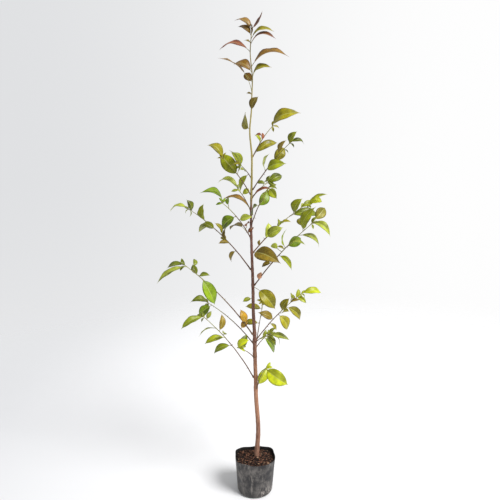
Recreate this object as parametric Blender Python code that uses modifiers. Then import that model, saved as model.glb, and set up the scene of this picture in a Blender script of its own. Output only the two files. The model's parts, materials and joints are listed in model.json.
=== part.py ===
"""Potted sakaki: a young evergreen sapling, 1.15 m tall, in a small soft black nursery pot.

One whole trunk runs from the soil to the leader. Short shoots leave it on all sides. A long
shoot is a bare bough that ends where its foliage begins, and a short one is foliage from the
trunk out. Metres, +Z up, +X to the right as the plant is looked at, +Y away from the viewer.
The origin is the middle of the pot's flat underside.
"""
import math
import random
from collections import namedtuple

import bmesh
import bpy
import numpy as np
from mathutils import Vector

PLANT = "potted_sakaki"
GAP = 0.0003
LIMB_GAP = GAP * 1.5
SHARP_EDGE = math.radians(50.0)

# Pot: round at the foot, a squashed round-cornered square at the mouth
POT_HEIGHT = 0.090
POT_WALL = 0.0010
FOOT_RADIUS = 0.0435
FOOT_EDGE = 0.009
MOUTH_HALF_WIDTH = 0.0500
MOUTH_HALF_DEPTH = 0.0470
MOUTH_SQUARENESS = 3.0
MOUTH_WAVE = 0.0011
MOUTH_WAVES = ((3.0, 0.6, 1.0), (5.0, 2.0, 0.6))  # times round, phase, strength
MOUTH_DENT = 0.0035
DENT_PLACE = math.radians(14.0)
DENT_SPREAD = math.radians(16.0)
POT_SIDES = 32
EDGE_RINGS = 4
WALL_RINGS = 4
DRAIN_HOLES = 6
DRAIN_RADIUS = 0.0042
DRAIN_RING = 0.024
DRAIN_SIDES = 12
SOIL_TOP = 0.080

# Trunk: its sideways place at some heights, then how it tapers
TRUNK_LEAN = (
    (0.080, 0.004), (0.155, 0.008), (0.260, 0.002), (0.380, -0.001), (0.480, -0.005),
    (0.680, -0.010), (0.820, -0.008), (0.884, -0.013), (0.940, -0.009), (1.000, -0.007),
    (1.060, -0.012), (1.115, -0.009),
)
TRUNK_SWAY = 0.004
SWAY_WAVES = ((9.0, 1.0), (17.0, -0.5))  # turns per metre of height in radians, strength
TRUNK_TOP = 0.880
LEADER_TOP = 1.113
TRUNK_DIAMETER = 0.0120
TIP_DIAMETER = 0.0018
TRUNK_TAPER = 1.15
FLARE_WIDTH = 0.0030
FLARE_HEIGHT = 0.012
TRUNK_STEP = 0.030
TRUNK_SIDES = 12
LEADER_STEP = 0.018
LEADER_FOOT_RISE = 0.002
LEADER_TIP_TUCK = 0.001

# Shoots and leaves
SHOOT_BASE_DIAMETER = 0.0018
SHOOT_GIRTH_PER_LENGTH = 0.0060
SHOOT_TIP_DIAMETER = 0.0013
SHOOT_STEP = 0.040
SHOOT_SIDES = 6
LAST_FOOT = 0.995
WELD = 0.00001
LEAF_THICKNESS = 0.013
MOST_FORESHORTENING = 0.85
FOOT_HALF_WIDTH = 0.0006
LEAF_CUTS = (0.0, 0.14, 0.38, 0.66, 0.88)
OVAL_END = 0.93
OVAL_FULLNESS = (0.9, 0.75)
DRIP_WIDTH = 0.10
DRIP_LENGTH = 0.12
SWING = (8.0, 28.0)
FOLD = (10.0, 24.0)
SWING_TRIES = (0.0, 14.0, -14.0, 28.0, -28.0, 42.0, -42.0, 56.0, -56.0)

# Room kept between neighbours, and how finely they are sampled for it
LEAF_ROOM = 0.0055
SISTER_ROOM = 0.0025
LIMB_ROOM = 0.0035
SAMPLE_STEP = 0.003
SAMPLES_ALONG = 20
SAMPLES_ACROSS = 7
TRUNK_GROUP = 40

# Twiglets: one small side twig with its own leaf on each such length of a shoot
TWIGLET_SPACING = 0.060
TWIGLET_PLACE = (0.35, 0.75)
TWIGLET_LEAN = (40.0, 70.0)
TWIGLET_LENGTH = (0.009, 0.018)
TWIGLET_LEAF = (0.018, 0.028)
TWIGLET_BLADE = (40, 0.42)
TWIGLET_FOLD = 15.0
TWIGLET_SIDES = 4
TWIGLET_OVERLAP = 0.001

# Share along the shoot, heading and length as seen from the front (0 right, 90 up), how far
# the upper side is turned to the front (0 edge on), width, arch and stalk as shares of length
Leaf = namedtuple(
    "Leaf", "share heading length face broad arch stalk", defaults=(50, 0.36, 0.2, 0.1))
Shoot = namedtuple("Shoot", "name height azimuth rise length bend bare leaves")

SHOOTS = (
    Shoot("left_top", 0.777, 115, 27, 0.068, 0.03, 0.0, (
        Leaf(0.25, 245, 0.045, 70, 0.42),
        Leaf(1.0, 128, 0.040, 75, 0.60),
    )),
    Shoot("left_upper", 0.739, 224, 42, 0.116, 0.04, 0.32, (
        Leaf(0.50, 130, 0.066, 80, 0.42, 0.12),
        Leaf(0.54, 106, 0.056, 55, 0.42),
        Leaf(1.0, 140, 0.048, 45, 0.38, 0.35),
    )),
    Shoot("left_bent", 0.700, 113, 31, 0.095, 0.05, 0.40, (
        Leaf(0.70, 42, 0.022, 70, 0.55),
        Leaf(0.80, 150, 0.016, 40, 0.45),
        Leaf(1.0, 159, 0.056, 28, 0.30, 0.34),
    )),
    Shoot("left_inner", 0.638, 233, 38, 0.134, 0.05, 0.0, (
        Leaf(0.10, 45, 0.020, 50, 0.40),
        Leaf(0.45, 14, 0.032, 60, 0.45),
        Leaf(0.56, 224, 0.045, 70, 0.60),
        Leaf(1.0, 156, 0.052, 40, 0.38, 0.36),
    )),
    Shoot("left_wide", 0.561, 159, 40, 0.221, 0.05, 0.20, (
        Leaf(0.26, 250, 0.032, 75, 0.60),
        Leaf(0.36, 178, 0.028, 35, 0.40),
        Leaf(0.42, 92, 0.030, 60, 0.36),
        Leaf(0.50, 118, 0.034, 60, 0.42),
        Leaf(0.60, 154, 0.034, 60, 0.42),
        Leaf(0.68, 215, 0.032, -60, 0.50),
        Leaf(0.75, 96, 0.042, 75, 0.58),
        Leaf(0.95, 112, 0.030, 78, 0.68),
        Leaf(1.0, 189, 0.050, 25, 0.30, 0.24),
    )),
    Shoot("left_long", 0.401, 204, 46, 0.251, 0.04, 0.70, (
        Leaf(0.79, 295, 0.072, 78, 0.38, 0.12),
        Leaf(0.82, 8, 0.027, 40, 0.40),
        Leaf(0.84, 118, 0.026, 50, 0.45),
        Leaf(0.97, 208, 0.074, 28, 0.20, 0.14),
        Leaf(1.0, 195, 0.046, 35, 0.32, 0.16),
    )),
    Shoot("left_low", 0.377, 143, 28, 0.171, 0.05, 0.84, (
        Leaf(0.92, 224, 0.048, 72, 0.52),
        Leaf(1.0, 174, 0.046, 40, 0.36, 0.34),
    )),
    Shoot("left_short", 0.343, 240, 29, 0.093, 0.04, 0.55, (
        Leaf(0.85, 66, 0.036, 65, 0.42),
        Leaf(1.0, 38, 0.036, 60, 0.42, 0.25),
    )),
    Shoot("left_foot", 0.292, 206, 51, 0.214, 0.04, 0.44, (
        Leaf(0.50, 210, 0.050, 42, 0.34, 0.24),
        Leaf(0.63, 195, 0.050, 35, 0.32, 0.22),
        Leaf(0.74, 82, 0.040, 60, 0.34),
        Leaf(0.79, 205, 0.044, -30, 0.22),
        Leaf(0.95, 60, 0.022, 50, 0.40),
        Leaf(1.0, 206, 0.056, 35, 0.28),
    )),
    Shoot("right_foot", 0.265, 290, 48, 0.095, 0.05, 0.0, (
        Leaf(0.12, 60, 0.048, 65, 0.42),
        Leaf(1.0, 328, 0.062, 75, 0.48, 0.28),
    )),
    Shoot("right_rear", 0.364, 62, 12, 0.075, 0.04, 0.0, (
        Leaf(0.60, 70, 0.024, 40, 0.30),
        Leaf(0.80, 338, 0.030, 35, 0.26),
        Leaf(1.0, 40, 0.028, 45, 0.30),
    )),
    Shoot("right_hang", 0.382, 300, 26, 0.077, 0.04, 0.0, (
        Leaf(0.55, 299, 0.058, 75, 0.30, 0.14),
        Leaf(0.75, 316, 0.032, 40, 0.30, 0.26),
        Leaf(0.95, 315, 0.036, 20, 0.22, 0.28),
        Leaf(1.0, 350, 0.046, 40, 0.26, 0.2),
    )),
    Shoot("right_low", 0.387, 25, 38, 0.166, 0.04, 0.25, (
        Leaf(0.31, 310, 0.026, 50, 0.36),
        Leaf(0.39, 153, 0.044, 60, 0.40),
        Leaf(0.50, 299, 0.050, 78, 0.52),
        Leaf(0.58, 61, 0.038, 72, 0.55),
        Leaf(0.67, 314, 0.055, 66, 0.38),
        Leaf(0.76, 22, 0.026, 40, 0.36),
        Leaf(0.88, 72, 0.024, 60, 0.42),
        Leaf(0.91, 330, 0.026, 50, 0.38),
        Leaf(1.0, 358, 0.054, 45, 0.32, 0.26),
    )),
    Shoot("right_wide", 0.524, 329, 45, 0.216, 0.03, 0.28, (
        Leaf(0.34, 205, 0.026, 45, 0.45),
        Leaf(0.46, 313, 0.044, 42, 0.26, 0.34),
        Leaf(0.56, 160, 0.018, 40, 0.36),
        Leaf(0.58, 86, 0.044, 50, 0.36),
        Leaf(0.60, 28, 0.040, 72, 0.48),
        Leaf(0.66, 353, 0.034, 30, 0.22, 0.26),
        Leaf(0.79, 329, 0.056, 45, 0.27, 0.3),
        Leaf(0.86, 66, 0.060, 76, 0.42),
        Leaf(0.96, 46, 0.052, 60, 0.36, 0.18, 0.3),
        Leaf(1.0, 324, 0.046, 40, 0.32, 0.32),
    )),
    Shoot("right_mid", 0.602, 30, 35, 0.195, 0.04, 0.16, (
        Leaf(0.23, 78, 0.040, 78, 0.55),
        Leaf(0.26, 32, 0.046, 72, 0.55),
        Leaf(0.45, 82, 0.022, 65, 0.45),
        Leaf(0.52, 14, 0.026, 40, 0.32),
        Leaf(0.70, 358, 0.074, 50, 0.30, 0.22),
        Leaf(0.76, 62, 0.042, 78, 0.60),
        Leaf(0.90, 22, 0.034, 50, 0.36),
        Leaf(0.97, 28, 0.060, 40, 0.18, 0.12, 0.35),
        Leaf(1.0, 10, 0.042, 55, 0.38, 0.3),
    )),
    Shoot("right_inner", 0.670, 294, 42, 0.126, 0.04, 0.34, (
        Leaf(0.44, 60, 0.040, 76, 0.58),
        Leaf(0.48, 238, 0.038, -60, 0.42),
        Leaf(0.94, 266, 0.034, 45, 0.26),
        Leaf(1.0, 306, 0.030, 70, 0.48, 0.2, 0.2),
    )),
    Shoot("right_dark", 0.729, 61, 24, 0.093, 0.04, 0.0, (
        Leaf(0.88, 176, 0.024, 50, 0.42),
        Leaf(0.94, 62, 0.022, 45, 0.40),
        Leaf(1.0, 26, 0.042, 62, 0.44),
    )),
    Shoot("right_upper", 0.750, 330, 46, 0.144, 0.03, 0.32, (
        Leaf(0.38, 75, 0.042, -70, 0.42),
        Leaf(0.40, 17, 0.046, 72, 0.44, 0.22),
        Leaf(0.58, 50, 0.042, 72, 0.48),
        Leaf(0.73, 62, 0.034, 72, 0.52),
        Leaf(0.84, 320, 0.014, 40, 0.40),
        Leaf(0.97, 58, 0.031, 74, 0.56),
        Leaf(1.0, 357, 0.032, 45, 0.36, 0.32),
    )),
    Shoot("right_top", 0.826, 45, 47, 0.104, 0.04, 0.0, (
        Leaf(0.06, 27, 0.064, 55, 0.28, 0.26),
        Leaf(0.38, 124, 0.023, 66, 0.48),
        Leaf(0.48, 85, 0.019, 40, 0.36),
        Leaf(1.0, 21, 0.070, 66, 0.36, 0.3),
    )),
    Shoot("back_low", 0.352, 78, 42, 0.155, 0.05, 0.30, (
        Leaf(0.52, 185, 0.042, 50, 0.34),
        Leaf(0.66, 20, 0.032, 40, 0.34),
        Leaf(0.82, 173, 0.044, 50, 0.34),
        Leaf(1.0, 118, 0.030, 40, 0.26),
    )),
)

# The leader's leaves, from its foot to its tip
LEADER_LEAVES = (
    Leaf(0.02, 100, 0.056, 82, 0.52, 0.12),
    Leaf(0.21, 62, 0.034, 78, 0.58),
    Leaf(0.36, 165, 0.014, 40, 0.30),
    Leaf(0.38, 137, 0.098, 25, 0.16, 0.16, 0.42),
    Leaf(0.48, 125, 0.030, 60, 0.55),
    Leaf(0.52, 22, 0.048, 42, 0.32, 0.3),
    Leaf(0.57, 151, 0.050, 38, 0.28, 0.26),
    Leaf(0.63, 12, 0.088, 30, 0.20, 0.24),
    Leaf(0.77, 176, 0.072, 30, 0.22, 0.27),
    Leaf(0.84, 8, 0.057, 32, 0.25, 0.28),
    Leaf(0.85, 153, 0.017, 30, 0.28),
    Leaf(0.89, 14, 0.054, 35, 0.24, 0.26),
    Leaf(0.92, 145, 0.038, 40, 0.30, 0.26),
    Leaf(0.93, 96, 0.026, 60, 0.38, 0.1),
    Leaf(0.98, 149, 0.045, 34, 0.27, 0.24),
    Leaf(1.0, 52, 0.040, 55, 0.30, -0.1),
)

# Single leaves: the limb each one stands on, and for the trunk its height in place of a share
LONE_LEAVES = (
    ("leaf_right_hanging", "trunk", Leaf(0.519, 314, 0.070, 56, 0.42, 0.32, 0.22)),
    ("leaf_left_small", "trunk", Leaf(0.490, 199, 0.022, 50, 0.45)),
    ("leaf_right_brown", "trunk", Leaf(0.600, 343, 0.072, 50, 0.38, 0.2)),
    ("leaf_left_arched", "trunk", Leaf(0.699, 164, 0.070, 24, 0.24, 0.28)),
    ("leaf_left_thin", "trunk", Leaf(0.636, 170, 0.071, 18, 0.24, 0.26, 0.3)),
    ("leaf_right_arched", "trunk", Leaf(0.731, 7, 0.054, 22, 0.24, 0.26)),
    ("leaf_left_gold", "left_long", Leaf(0.13, 108, 0.036, 70, 0.46)),
    ("leaf_low_gold", "left_low", Leaf(0.28, 55, 0.027, 66, 0.55)),
)

POT_BLACK = ("pot_plastic", (0.060, 0.056, 0.053), 0.55)
SOIL_BROWN = ("potting_soil", (0.050, 0.032, 0.022), 0.95)
BARK_BROWN = ("bark", (0.165, 0.080, 0.052), 0.75)
SHOOT_GREEN = ("shoot_bark", (0.150, 0.110, 0.050), 0.70)
LEAF_GREEN = ("leaf_green", (0.130, 0.270, 0.020), 0.40)
LEAF_LIME = ("leaf_lime", (0.420, 0.480, 0.020), 0.40)
LEAF_OLIVE = ("leaf_olive", (0.270, 0.230, 0.035), 0.45)
LEAF_BRONZE = ("leaf_bronze", (0.250, 0.120, 0.060), 0.45)
LEAF_GOLD = ("leaf_gold", (0.600, 0.320, 0.030), 0.50)
MASS_FINISH = {"right_foot": LEAF_LIME, "back_low": LEAF_OLIVE, "right_top": LEAF_OLIVE}
LONE_FINISH = {
    "leaf_right_hanging": LEAF_OLIVE, "leaf_left_small": LEAF_GREEN,
    "leaf_right_brown": LEAF_OLIVE, "leaf_left_arched": LEAF_BRONZE,
    "leaf_left_thin": LEAF_OLIVE, "leaf_right_arched": LEAF_BRONZE,
    "leaf_left_gold": LEAF_GOLD, "leaf_low_gold": LEAF_GOLD,
}


# Scene and materials

def empty_scene():
    for obj in list(bpy.data.objects):
        bpy.data.objects.remove(obj, do_unlink=True)


def make_collection(name):
    collection = bpy.data.collections.new(name)
    bpy.context.scene.collection.children.link(collection)
    return collection


def finish_of(finish):
    name, colour, roughness = finish
    material = bpy.data.materials.get(name)
    if material is None:
        material = bpy.data.materials.new(name)
        material.use_nodes = True
        surface = material.node_tree.nodes["Principled BSDF"]
        surface.inputs["Base Color"].default_value = (*colour, 1.0)
        surface.inputs["Roughness"].default_value = roughness
        surface.inputs["Metallic"].default_value = 0.0
    return material


def dress(mesh, finish):
    mesh.materials.clear()
    mesh.materials.append(finish_of(finish))
    mesh.shade_smooth()
    mesh.set_sharp_from_angle(angle=SHARP_EDGE)


def add_object(name, mesh, collection, finish=None):
    obj = bpy.data.objects.new(name, mesh)
    collection.objects.link(obj)
    if finish is not None:
        dress(mesh, finish)
    return obj


def mesh_from(name, points, faces):
    mesh = bpy.data.meshes.new(name)
    mesh.from_pydata([tuple(point) for point in points], [], faces)
    mesh.update()
    return mesh


# Pot and soil

def foot_to_mouth(inset):
    """Radius share, height and share of the way up, for each ring of a pot shell."""
    centre = FOOT_RADIUS - FOOT_EDGE
    bend = FOOT_EDGE - inset
    rings = [(centre / 2.0, inset, 0.0)]
    for step in range(EDGE_RINGS):
        angle = math.radians(90.0) * step / (EDGE_RINGS - 1)
        rings.append((centre + bend * math.sin(angle), FOOT_EDGE - bend * math.cos(angle), 0.0))
    for step in range(1, WALL_RINGS + 1):
        rise = step / WALL_RINGS
        rings.append((None, FOOT_EDGE + (POT_HEIGHT - FOOT_EDGE) * rise, rise))
    return rings


def pot_radius(angle, rise):
    """The outer wall's radius: round low down, squarer, dented and wavy towards the mouth."""
    half_width = FOOT_RADIUS + (MOUTH_HALF_WIDTH - FOOT_RADIUS) * rise
    half_depth = FOOT_RADIUS + (MOUTH_HALF_DEPTH - FOOT_RADIUS) * rise
    power = 2.0 + (MOUTH_SQUARENESS - 2.0) * rise
    across = abs(math.cos(angle) / half_width) ** power
    deep = abs(math.sin(angle) / half_depth) ** power
    radius = (across + deep) ** (-1.0 / power)
    wave = sum(push * math.sin(turns * angle + phase) for turns, phase, push in MOUTH_WAVES)
    dent = math.exp(-((angle_between(angle, DENT_PLACE) / DENT_SPREAD) ** 2))
    return radius + (MOUTH_WAVE * wave - MOUTH_DENT * dent) * rise ** 2


def angle_between(a, b):
    return abs((a - b + math.pi) % (2.0 * math.pi) - math.pi)


def pot_rings(inset, top):
    """Rings of points from the middle of the floor up to the given height."""
    rings = []
    for radius, height, rise in foot_to_mouth(inset):
        if height > top:
            rise = (top - FOOT_EDGE) / (POT_HEIGHT - FOOT_EDGE)
        ring = []
        for side in range(POT_SIDES):
            angle = 2.0 * math.pi * side / POT_SIDES
            reach = radius if radius is not None else pot_radius(angle, rise) - inset
            ring.append((reach * math.cos(angle), reach * math.sin(angle), min(height, top)))
        rings.append(ring)
        if height > top:
            break
    return rings


def cup_faces(ring_count):
    """Faces of a cup of rings closed by its first ring, pointing out."""
    faces = [tuple(reversed(range(POT_SIDES)))]
    for ring in range(ring_count - 1):
        low = ring * POT_SIDES
        high = low + POT_SIDES
        for side in range(POT_SIDES):
            after = (side + 1) % POT_SIDES
            faces.append((low + side, low + after, high + after, high + side))
    return faces


def make_pot(parts, cutters):
    rings = pot_rings(0.0, POT_HEIGHT)
    points = [point for ring in rings for point in ring]
    mesh = mesh_from("pot", points, cup_faces(len(rings)))
    pot = add_object("pot", mesh, parts, POT_BLACK)
    shell = pot.modifiers.new("wall", "SOLIDIFY")
    shell.thickness = POT_WALL
    shell.offset = -1.0
    for hole in range(DRAIN_HOLES):
        angle = 2.0 * math.pi * (hole + 0.5) / DRAIN_HOLES
        place = (DRAIN_RING * math.cos(angle), DRAIN_RING * math.sin(angle), 0.0)
        bpy.ops.mesh.primitive_cylinder_add(
            vertices=DRAIN_SIDES, radius=DRAIN_RADIUS, depth=POT_WALL * 6.0, location=place)
        cutter = bpy.context.object
        cutter.name = "drain_hole_%d" % hole
        for owner in list(cutter.users_collection):
            owner.objects.unlink(cutter)
        cutters.objects.link(cutter)
        cutter.hide_render = True
        cutter.display_type = "WIRE"
    drain = pot.modifiers.new("drain_holes", "BOOLEAN")
    drain.operation = "DIFFERENCE"
    drain.operand_type = "COLLECTION"
    drain.collection = cutters
    drain.solver = "EXACT"


def make_soil(parts):
    rings = pot_rings(POT_WALL + LIMB_GAP, SOIL_TOP)
    points = [point for ring in rings for point in ring]
    faces = cup_faces(len(rings))
    last = (len(rings) - 1) * POT_SIDES
    faces.append(tuple(range(last, last + POT_SIDES)))
    add_object("soil", mesh_from("soil", points, faces), parts, SOIL_BROWN)


# Trunk and shoots

def ease(share):
    return share * share * (3.0 - 2.0 * share)


def trunk_point(height):
    """The middle of the trunk or leader at a height."""
    side = TRUNK_LEAN[-1][1]
    for (low, low_side), (high, high_side) in zip(TRUNK_LEAN, TRUNK_LEAN[1:]):
        if height <= high:
            share = ease(max(0.0, (height - low) / (high - low)))
            side = low_side + (high_side - low_side) * share
            break
    sway = sum(push * math.sin((height - SOIL_TOP) * turns) for turns, push in SWAY_WAVES)
    return Vector((side, TRUNK_SWAY * sway, height))


def trunk_radius(height):
    share = (height - SOIL_TOP) / (LEADER_TOP - SOIL_TOP)
    slim = TIP_DIAMETER + (TRUNK_DIAMETER - TIP_DIAMETER) * max(0.0, 1.0 - share) ** TRUNK_TAPER
    flare = FLARE_WIDTH * math.exp(-(height - SOIL_TOP) / FLARE_HEIGHT)
    return (slim + flare) / 2.0


def heights(low, high, step):
    count = max(2, math.ceil((high - low) / step))
    return [low + (high - low) * index / count for index in range(count + 1)]


class Limb:
    """A shoot as a bent line from its foot on the trunk to its tip, with its radius."""

    def __init__(self, shoot):
        azimuth = math.radians(shoot.azimuth)
        rise = math.radians(shoot.rise)
        out = Vector((math.cos(azimuth), math.sin(azimuth), 0.0))
        along = out * math.cos(rise) + Vector((0.0, 0.0, math.sin(rise)))
        above = Vector((0.0, 0.0, math.cos(rise))) - out * math.sin(rise)
        self.base_radius = (SHOOT_BASE_DIAMETER + SHOOT_GIRTH_PER_LENGTH * shoot.length) / 2.0
        clear = trunk_radius(shoot.height) + self.base_radius * math.sin(rise) + LIMB_GAP
        middle = trunk_point(shoot.height)
        self.foot = middle + out * clear
        self.tip = middle + along * shoot.length
        self.control = (self.foot + self.tip) / 2.0 + above * (2.0 * shoot.bend * shoot.length)
        self.length = (self.tip - self.foot).length

    def at(self, share):
        rest = 1.0 - share
        return self.foot * rest ** 2 + self.control * (2.0 * rest * share) + self.tip * share ** 2

    def direction(self, share):
        rest = 1.0 - share
        slope = (self.control - self.foot) * rest + (self.tip - self.control) * share
        return slope.normalized()

    def radius(self, share):
        return self.base_radius + (SHOOT_TIP_DIAMETER / 2.0 - self.base_radius) * share


def tube(name, centres, radii, sides):
    """A tapering round limb: a curve's bevel made a mesh with its caps welded on."""
    curve = bpy.data.curves.new(name, "CURVE")
    curve.dimensions = "3D"
    curve.bevel_mode = "ROUND"
    curve.bevel_depth = 1.0
    curve.bevel_resolution = (sides - 4) // 2
    curve.use_fill_caps = True
    spline = curve.splines.new("POLY")
    spline.points.add(len(centres) - 1)
    for point, centre, radius in zip(spline.points, centres, radii):
        point.co = (*centre, 1.0)
        point.radius = radius
    holder = bpy.data.objects.new(name, curve)
    bpy.context.scene.collection.objects.link(holder)
    evaluated = holder.evaluated_get(bpy.context.evaluated_depsgraph_get())
    mesh = bpy.data.meshes.new_from_object(evaluated)
    mesh.name = name
    bpy.data.objects.remove(holder, do_unlink=True)
    bpy.data.curves.remove(curve)
    shape = bmesh.new()
    shape.from_mesh(mesh)
    bmesh.ops.remove_doubles(shape, verts=shape.verts, dist=WELD)
    bmesh.ops.recalc_face_normals(shape, faces=shape.faces)
    shape.to_mesh(mesh)
    shape.free()
    mesh.materials.clear()
    return mesh


def limb_tube(name, limb, start, end):
    """The tube of a limb's stretch between two shares of its length."""
    stretch = limb.length * (end - start)
    count = max(2, math.ceil(stretch / SHOOT_STEP))
    shares = [start + (end - start) * index / count for index in range(count + 1)]
    centres = [limb.at(share) for share in shares]
    radii = [limb.radius(share) for share in shares]
    return tube(name, centres, radii, SHOOT_SIDES)


def trunk_tube(name, low, high, step):
    levels = heights(low, high, step)
    centres = [trunk_point(level) for level in levels]
    centres[1] = Vector((centres[0].x, centres[0].y, centres[1].z))
    return tube(name, centres, [trunk_radius(level) for level in levels], TRUNK_SIDES)


# Leaves

def swung(heading, swing):
    """A direction by its heading seen from the front and its swing away from the viewer."""
    heading = math.radians(heading)
    swing = math.radians(swing)
    across = math.cos(heading) * math.cos(swing)
    return Vector((across, math.sin(swing), math.sin(heading) * math.cos(swing)))


class Blade:
    """One leaf's place: an arched, folded blade that hangs on its stalk."""

    def __init__(self, leaf, foot, swing, fold):
        self.along = swung(leaf.heading, swing)
        above = Vector((0.0, 0.0, 1.0)) - self.along * self.along.z
        above.normalize()
        to_front = self.along.cross(above)
        if to_front.y > 0.0:
            to_front.negate()
        face = math.radians(leaf.face)
        self.up = above * math.cos(face) + to_front * math.sin(face)
        self.across = self.along.cross(self.up)
        self.foot = foot
        self.length = leaf.length / max(MOST_FORESHORTENING, math.cos(math.radians(swing)))
        self.half_width = self.length * leaf.broad / 2.0
        self.arch = leaf.arch
        self.stalk = leaf.stalk
        self.fold = math.tan(math.radians(fold))

    def width_share(self, share):
        """Half width as a share of the widest: an oval that ends in a drip tip."""
        blade = max(0.0, (share - self.stalk) / (1.0 - self.stalk))
        along, across = OVAL_FULLNESS
        oval = 0.0
        if 0.0 < blade < OVAL_END:
            oval = math.sin(math.pi * (blade / OVAL_END) ** along) ** across
        drip = DRIP_WIDTH * (1.0 - blade) / DRIP_LENGTH if blade > 0.5 else 0.0
        return max(oval, min(drip, DRIP_WIDTH))

    def point(self, share, side, lift=0.0):
        """A point at a share of the length, from -1 to 1 across, lifted off the blade."""
        bow = 4.0 * self.arch * share * (1.0 - share)
        slope = 4.0 * self.arch * (1.0 - 2.0 * share)
        normal = (self.up - self.along * slope).normalized()
        half = max(self.half_width * self.width_share(share), FOOT_HALF_WIDTH)
        rise = abs(side) * half * self.fold + lift
        middle = self.foot + (self.along * share + self.up * bow) * self.length
        return middle + self.across * (side * half) + normal * rise

    def samples(self):
        along = np.linspace(0.06, 1.0, SAMPLES_ALONG)
        across = np.linspace(-1.0, 1.0, SAMPLES_ACROSS)
        return np.array([self.point(share, side) for share in along for side in across])


def blade_mesh(name, blade):
    """A loft of slim four-pointed sections from the stalk's foot to the tip."""
    lift = blade.length * LEAF_THICKNESS / 2.0
    points = []
    for cut in LEAF_CUTS:
        share = blade.stalk + (1.0 - blade.stalk) * cut if cut > 0.0 else 0.0
        thick = max(lift, FOOT_HALF_WIDTH) if cut == 0.0 else lift
        points.append(blade.point(share, -1.0))
        points.append(blade.point(share, 0.0, thick))
        points.append(blade.point(share, 1.0))
        points.append(blade.point(share, 0.0, -thick))
    points.append(blade.point(1.0, 0.0))
    faces = [(3, 2, 1, 0)]
    for cut in range(len(LEAF_CUTS) - 1):
        for side in range(4):
            after = (side + 1) % 4
            low = cut * 4
            faces.append((low + side, low + after, low + 4 + after, low + 4 + side))
    last = (len(LEAF_CUTS) - 1) * 4
    faces.extend((last + side, last + (side + 1) % 4, len(points) - 1) for side in range(4))
    mesh = mesh_from(name, points, faces)
    shape = bmesh.new()
    shape.from_mesh(mesh)
    bmesh.ops.triangulate(shape, faces=shape.faces)
    bmesh.ops.recalc_face_normals(shape, faces=shape.faces)
    shape.to_mesh(mesh)
    shape.free()
    return mesh


class Crowd:
    """Sample points of each limb and leaf that stands, so that the next leaf keeps clear."""

    def __init__(self):
        self.groups = []

    def add(self, owner, kind, points, room):
        centre = points.mean(axis=0)
        reach = np.linalg.norm(points - centre, axis=1).max()
        self.groups.append((owner, kind, points, centre, reach, room))

    def has_room(self, owner, host, points):
        """Whether a leaf's points keep off all others; near its foot it may pass its host."""
        centre = points.mean(axis=0)
        reach = np.linalg.norm(points - centre, axis=1).max()
        beyond_foot = points[len(points) // 7:]
        outer = points[len(points) // 3:]
        for other, kind, others, middle, spread, room in self.groups:
            sister = other == owner
            if sister and kind == "limb":
                continue
            gap = SISTER_ROOM if sister else room
            if np.linalg.norm(centre - middle) > reach + spread + gap:
                continue
            mine = outer if sister else beyond_foot if other == host else points
            apart = np.linalg.norm(mine[:, None, :] - others[None, :, :], axis=2)
            if apart.min() < gap:
                return False
        return True


def limb_samples(limb, start=0.0, end=1.0):
    count = max(4, int(limb.length * (end - start) / SAMPLE_STEP))
    return np.array([limb.at(share) for share in np.linspace(start, end, count)])


def place_leaf(leaf, foot, draw, side, owner, host, crowd):
    """The leaf's blade, swung towards or away from the viewer until it stands clear."""
    swing = side * draw.uniform(*SWING)
    fold = draw.uniform(*FOLD)
    for turn in SWING_TRIES:
        blade = Blade(leaf, foot, swing + turn, fold)
        points = blade.samples()
        if crowd.has_room(owner, host, points):
            crowd.add(owner, "leaf", points, LEAF_ROOM)
            return blade
    return None


def twiglets(limb, start, draw):
    """Small side twigs by a seeded rule: where each stands, its line and its own little leaf."""
    stretch = limb.length * (1.0 - start)
    count = int(stretch / TWIGLET_SPACING)
    for index in range(count):
        share = start + (1.0 - start) * (index + draw.uniform(*TWIGLET_PLACE)) / count
        lean = draw.choice((-1.0, 1.0)) * draw.uniform(*TWIGLET_LEAN)
        heading = draw.uniform(0.0, 180.0)
        length = draw.uniform(*TWIGLET_LENGTH)
        size = draw.uniform(*TWIGLET_LEAF)
        yield share, heading, lean, length, size


# Joining a mass

def main_body(mesh):
    """Keep the outer skin of the largest piece: scraps and sealed hollows are dropped."""
    shape = bmesh.new()
    shape.from_mesh(mesh)
    bmesh.ops.triangulate(shape, faces=shape.faces)
    waiting = set(shape.verts)
    islands = []
    while waiting:
        front = [waiting.pop()]
        island = set(front)
        while front:
            for edge in front.pop().link_edges:
                for vert in edge.verts:
                    if vert in waiting:
                        waiting.remove(vert)
                        island.add(vert)
                        front.append(vert)
        islands.append(island)
    islands.sort(key=len)
    for island in islands[:-1]:
        bmesh.ops.delete(shape, geom=list(island), context="VERTS")
    shape.to_mesh(mesh)
    shape.free()


def join_mass(name, stem, pieces, parts, finish):
    """One Boolean union of a mass's stem with its twigs and leaves, applied."""
    together = make_collection(name + "_pieces")
    for number, piece in enumerate(pieces):
        add_object("%s_piece_%d" % (name, number), piece, together)
    mass = add_object(name, stem, parts, finish)
    union = mass.modifiers.new("union", "BOOLEAN")
    union.operation = "UNION"
    union.operand_type = "COLLECTION"
    union.collection = together
    union.solver = "EXACT"
    evaluated = mass.evaluated_get(bpy.context.evaluated_depsgraph_get())
    joined = bpy.data.meshes.new_from_object(evaluated)
    mass.modifiers.remove(union)
    mass.data = joined
    joined.name = name
    for piece in list(together.objects):
        bpy.data.objects.remove(piece, do_unlink=True)
    bpy.data.collections.remove(together)
    main_body(joined)
    dress(joined, finish)


# Building the plant

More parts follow.
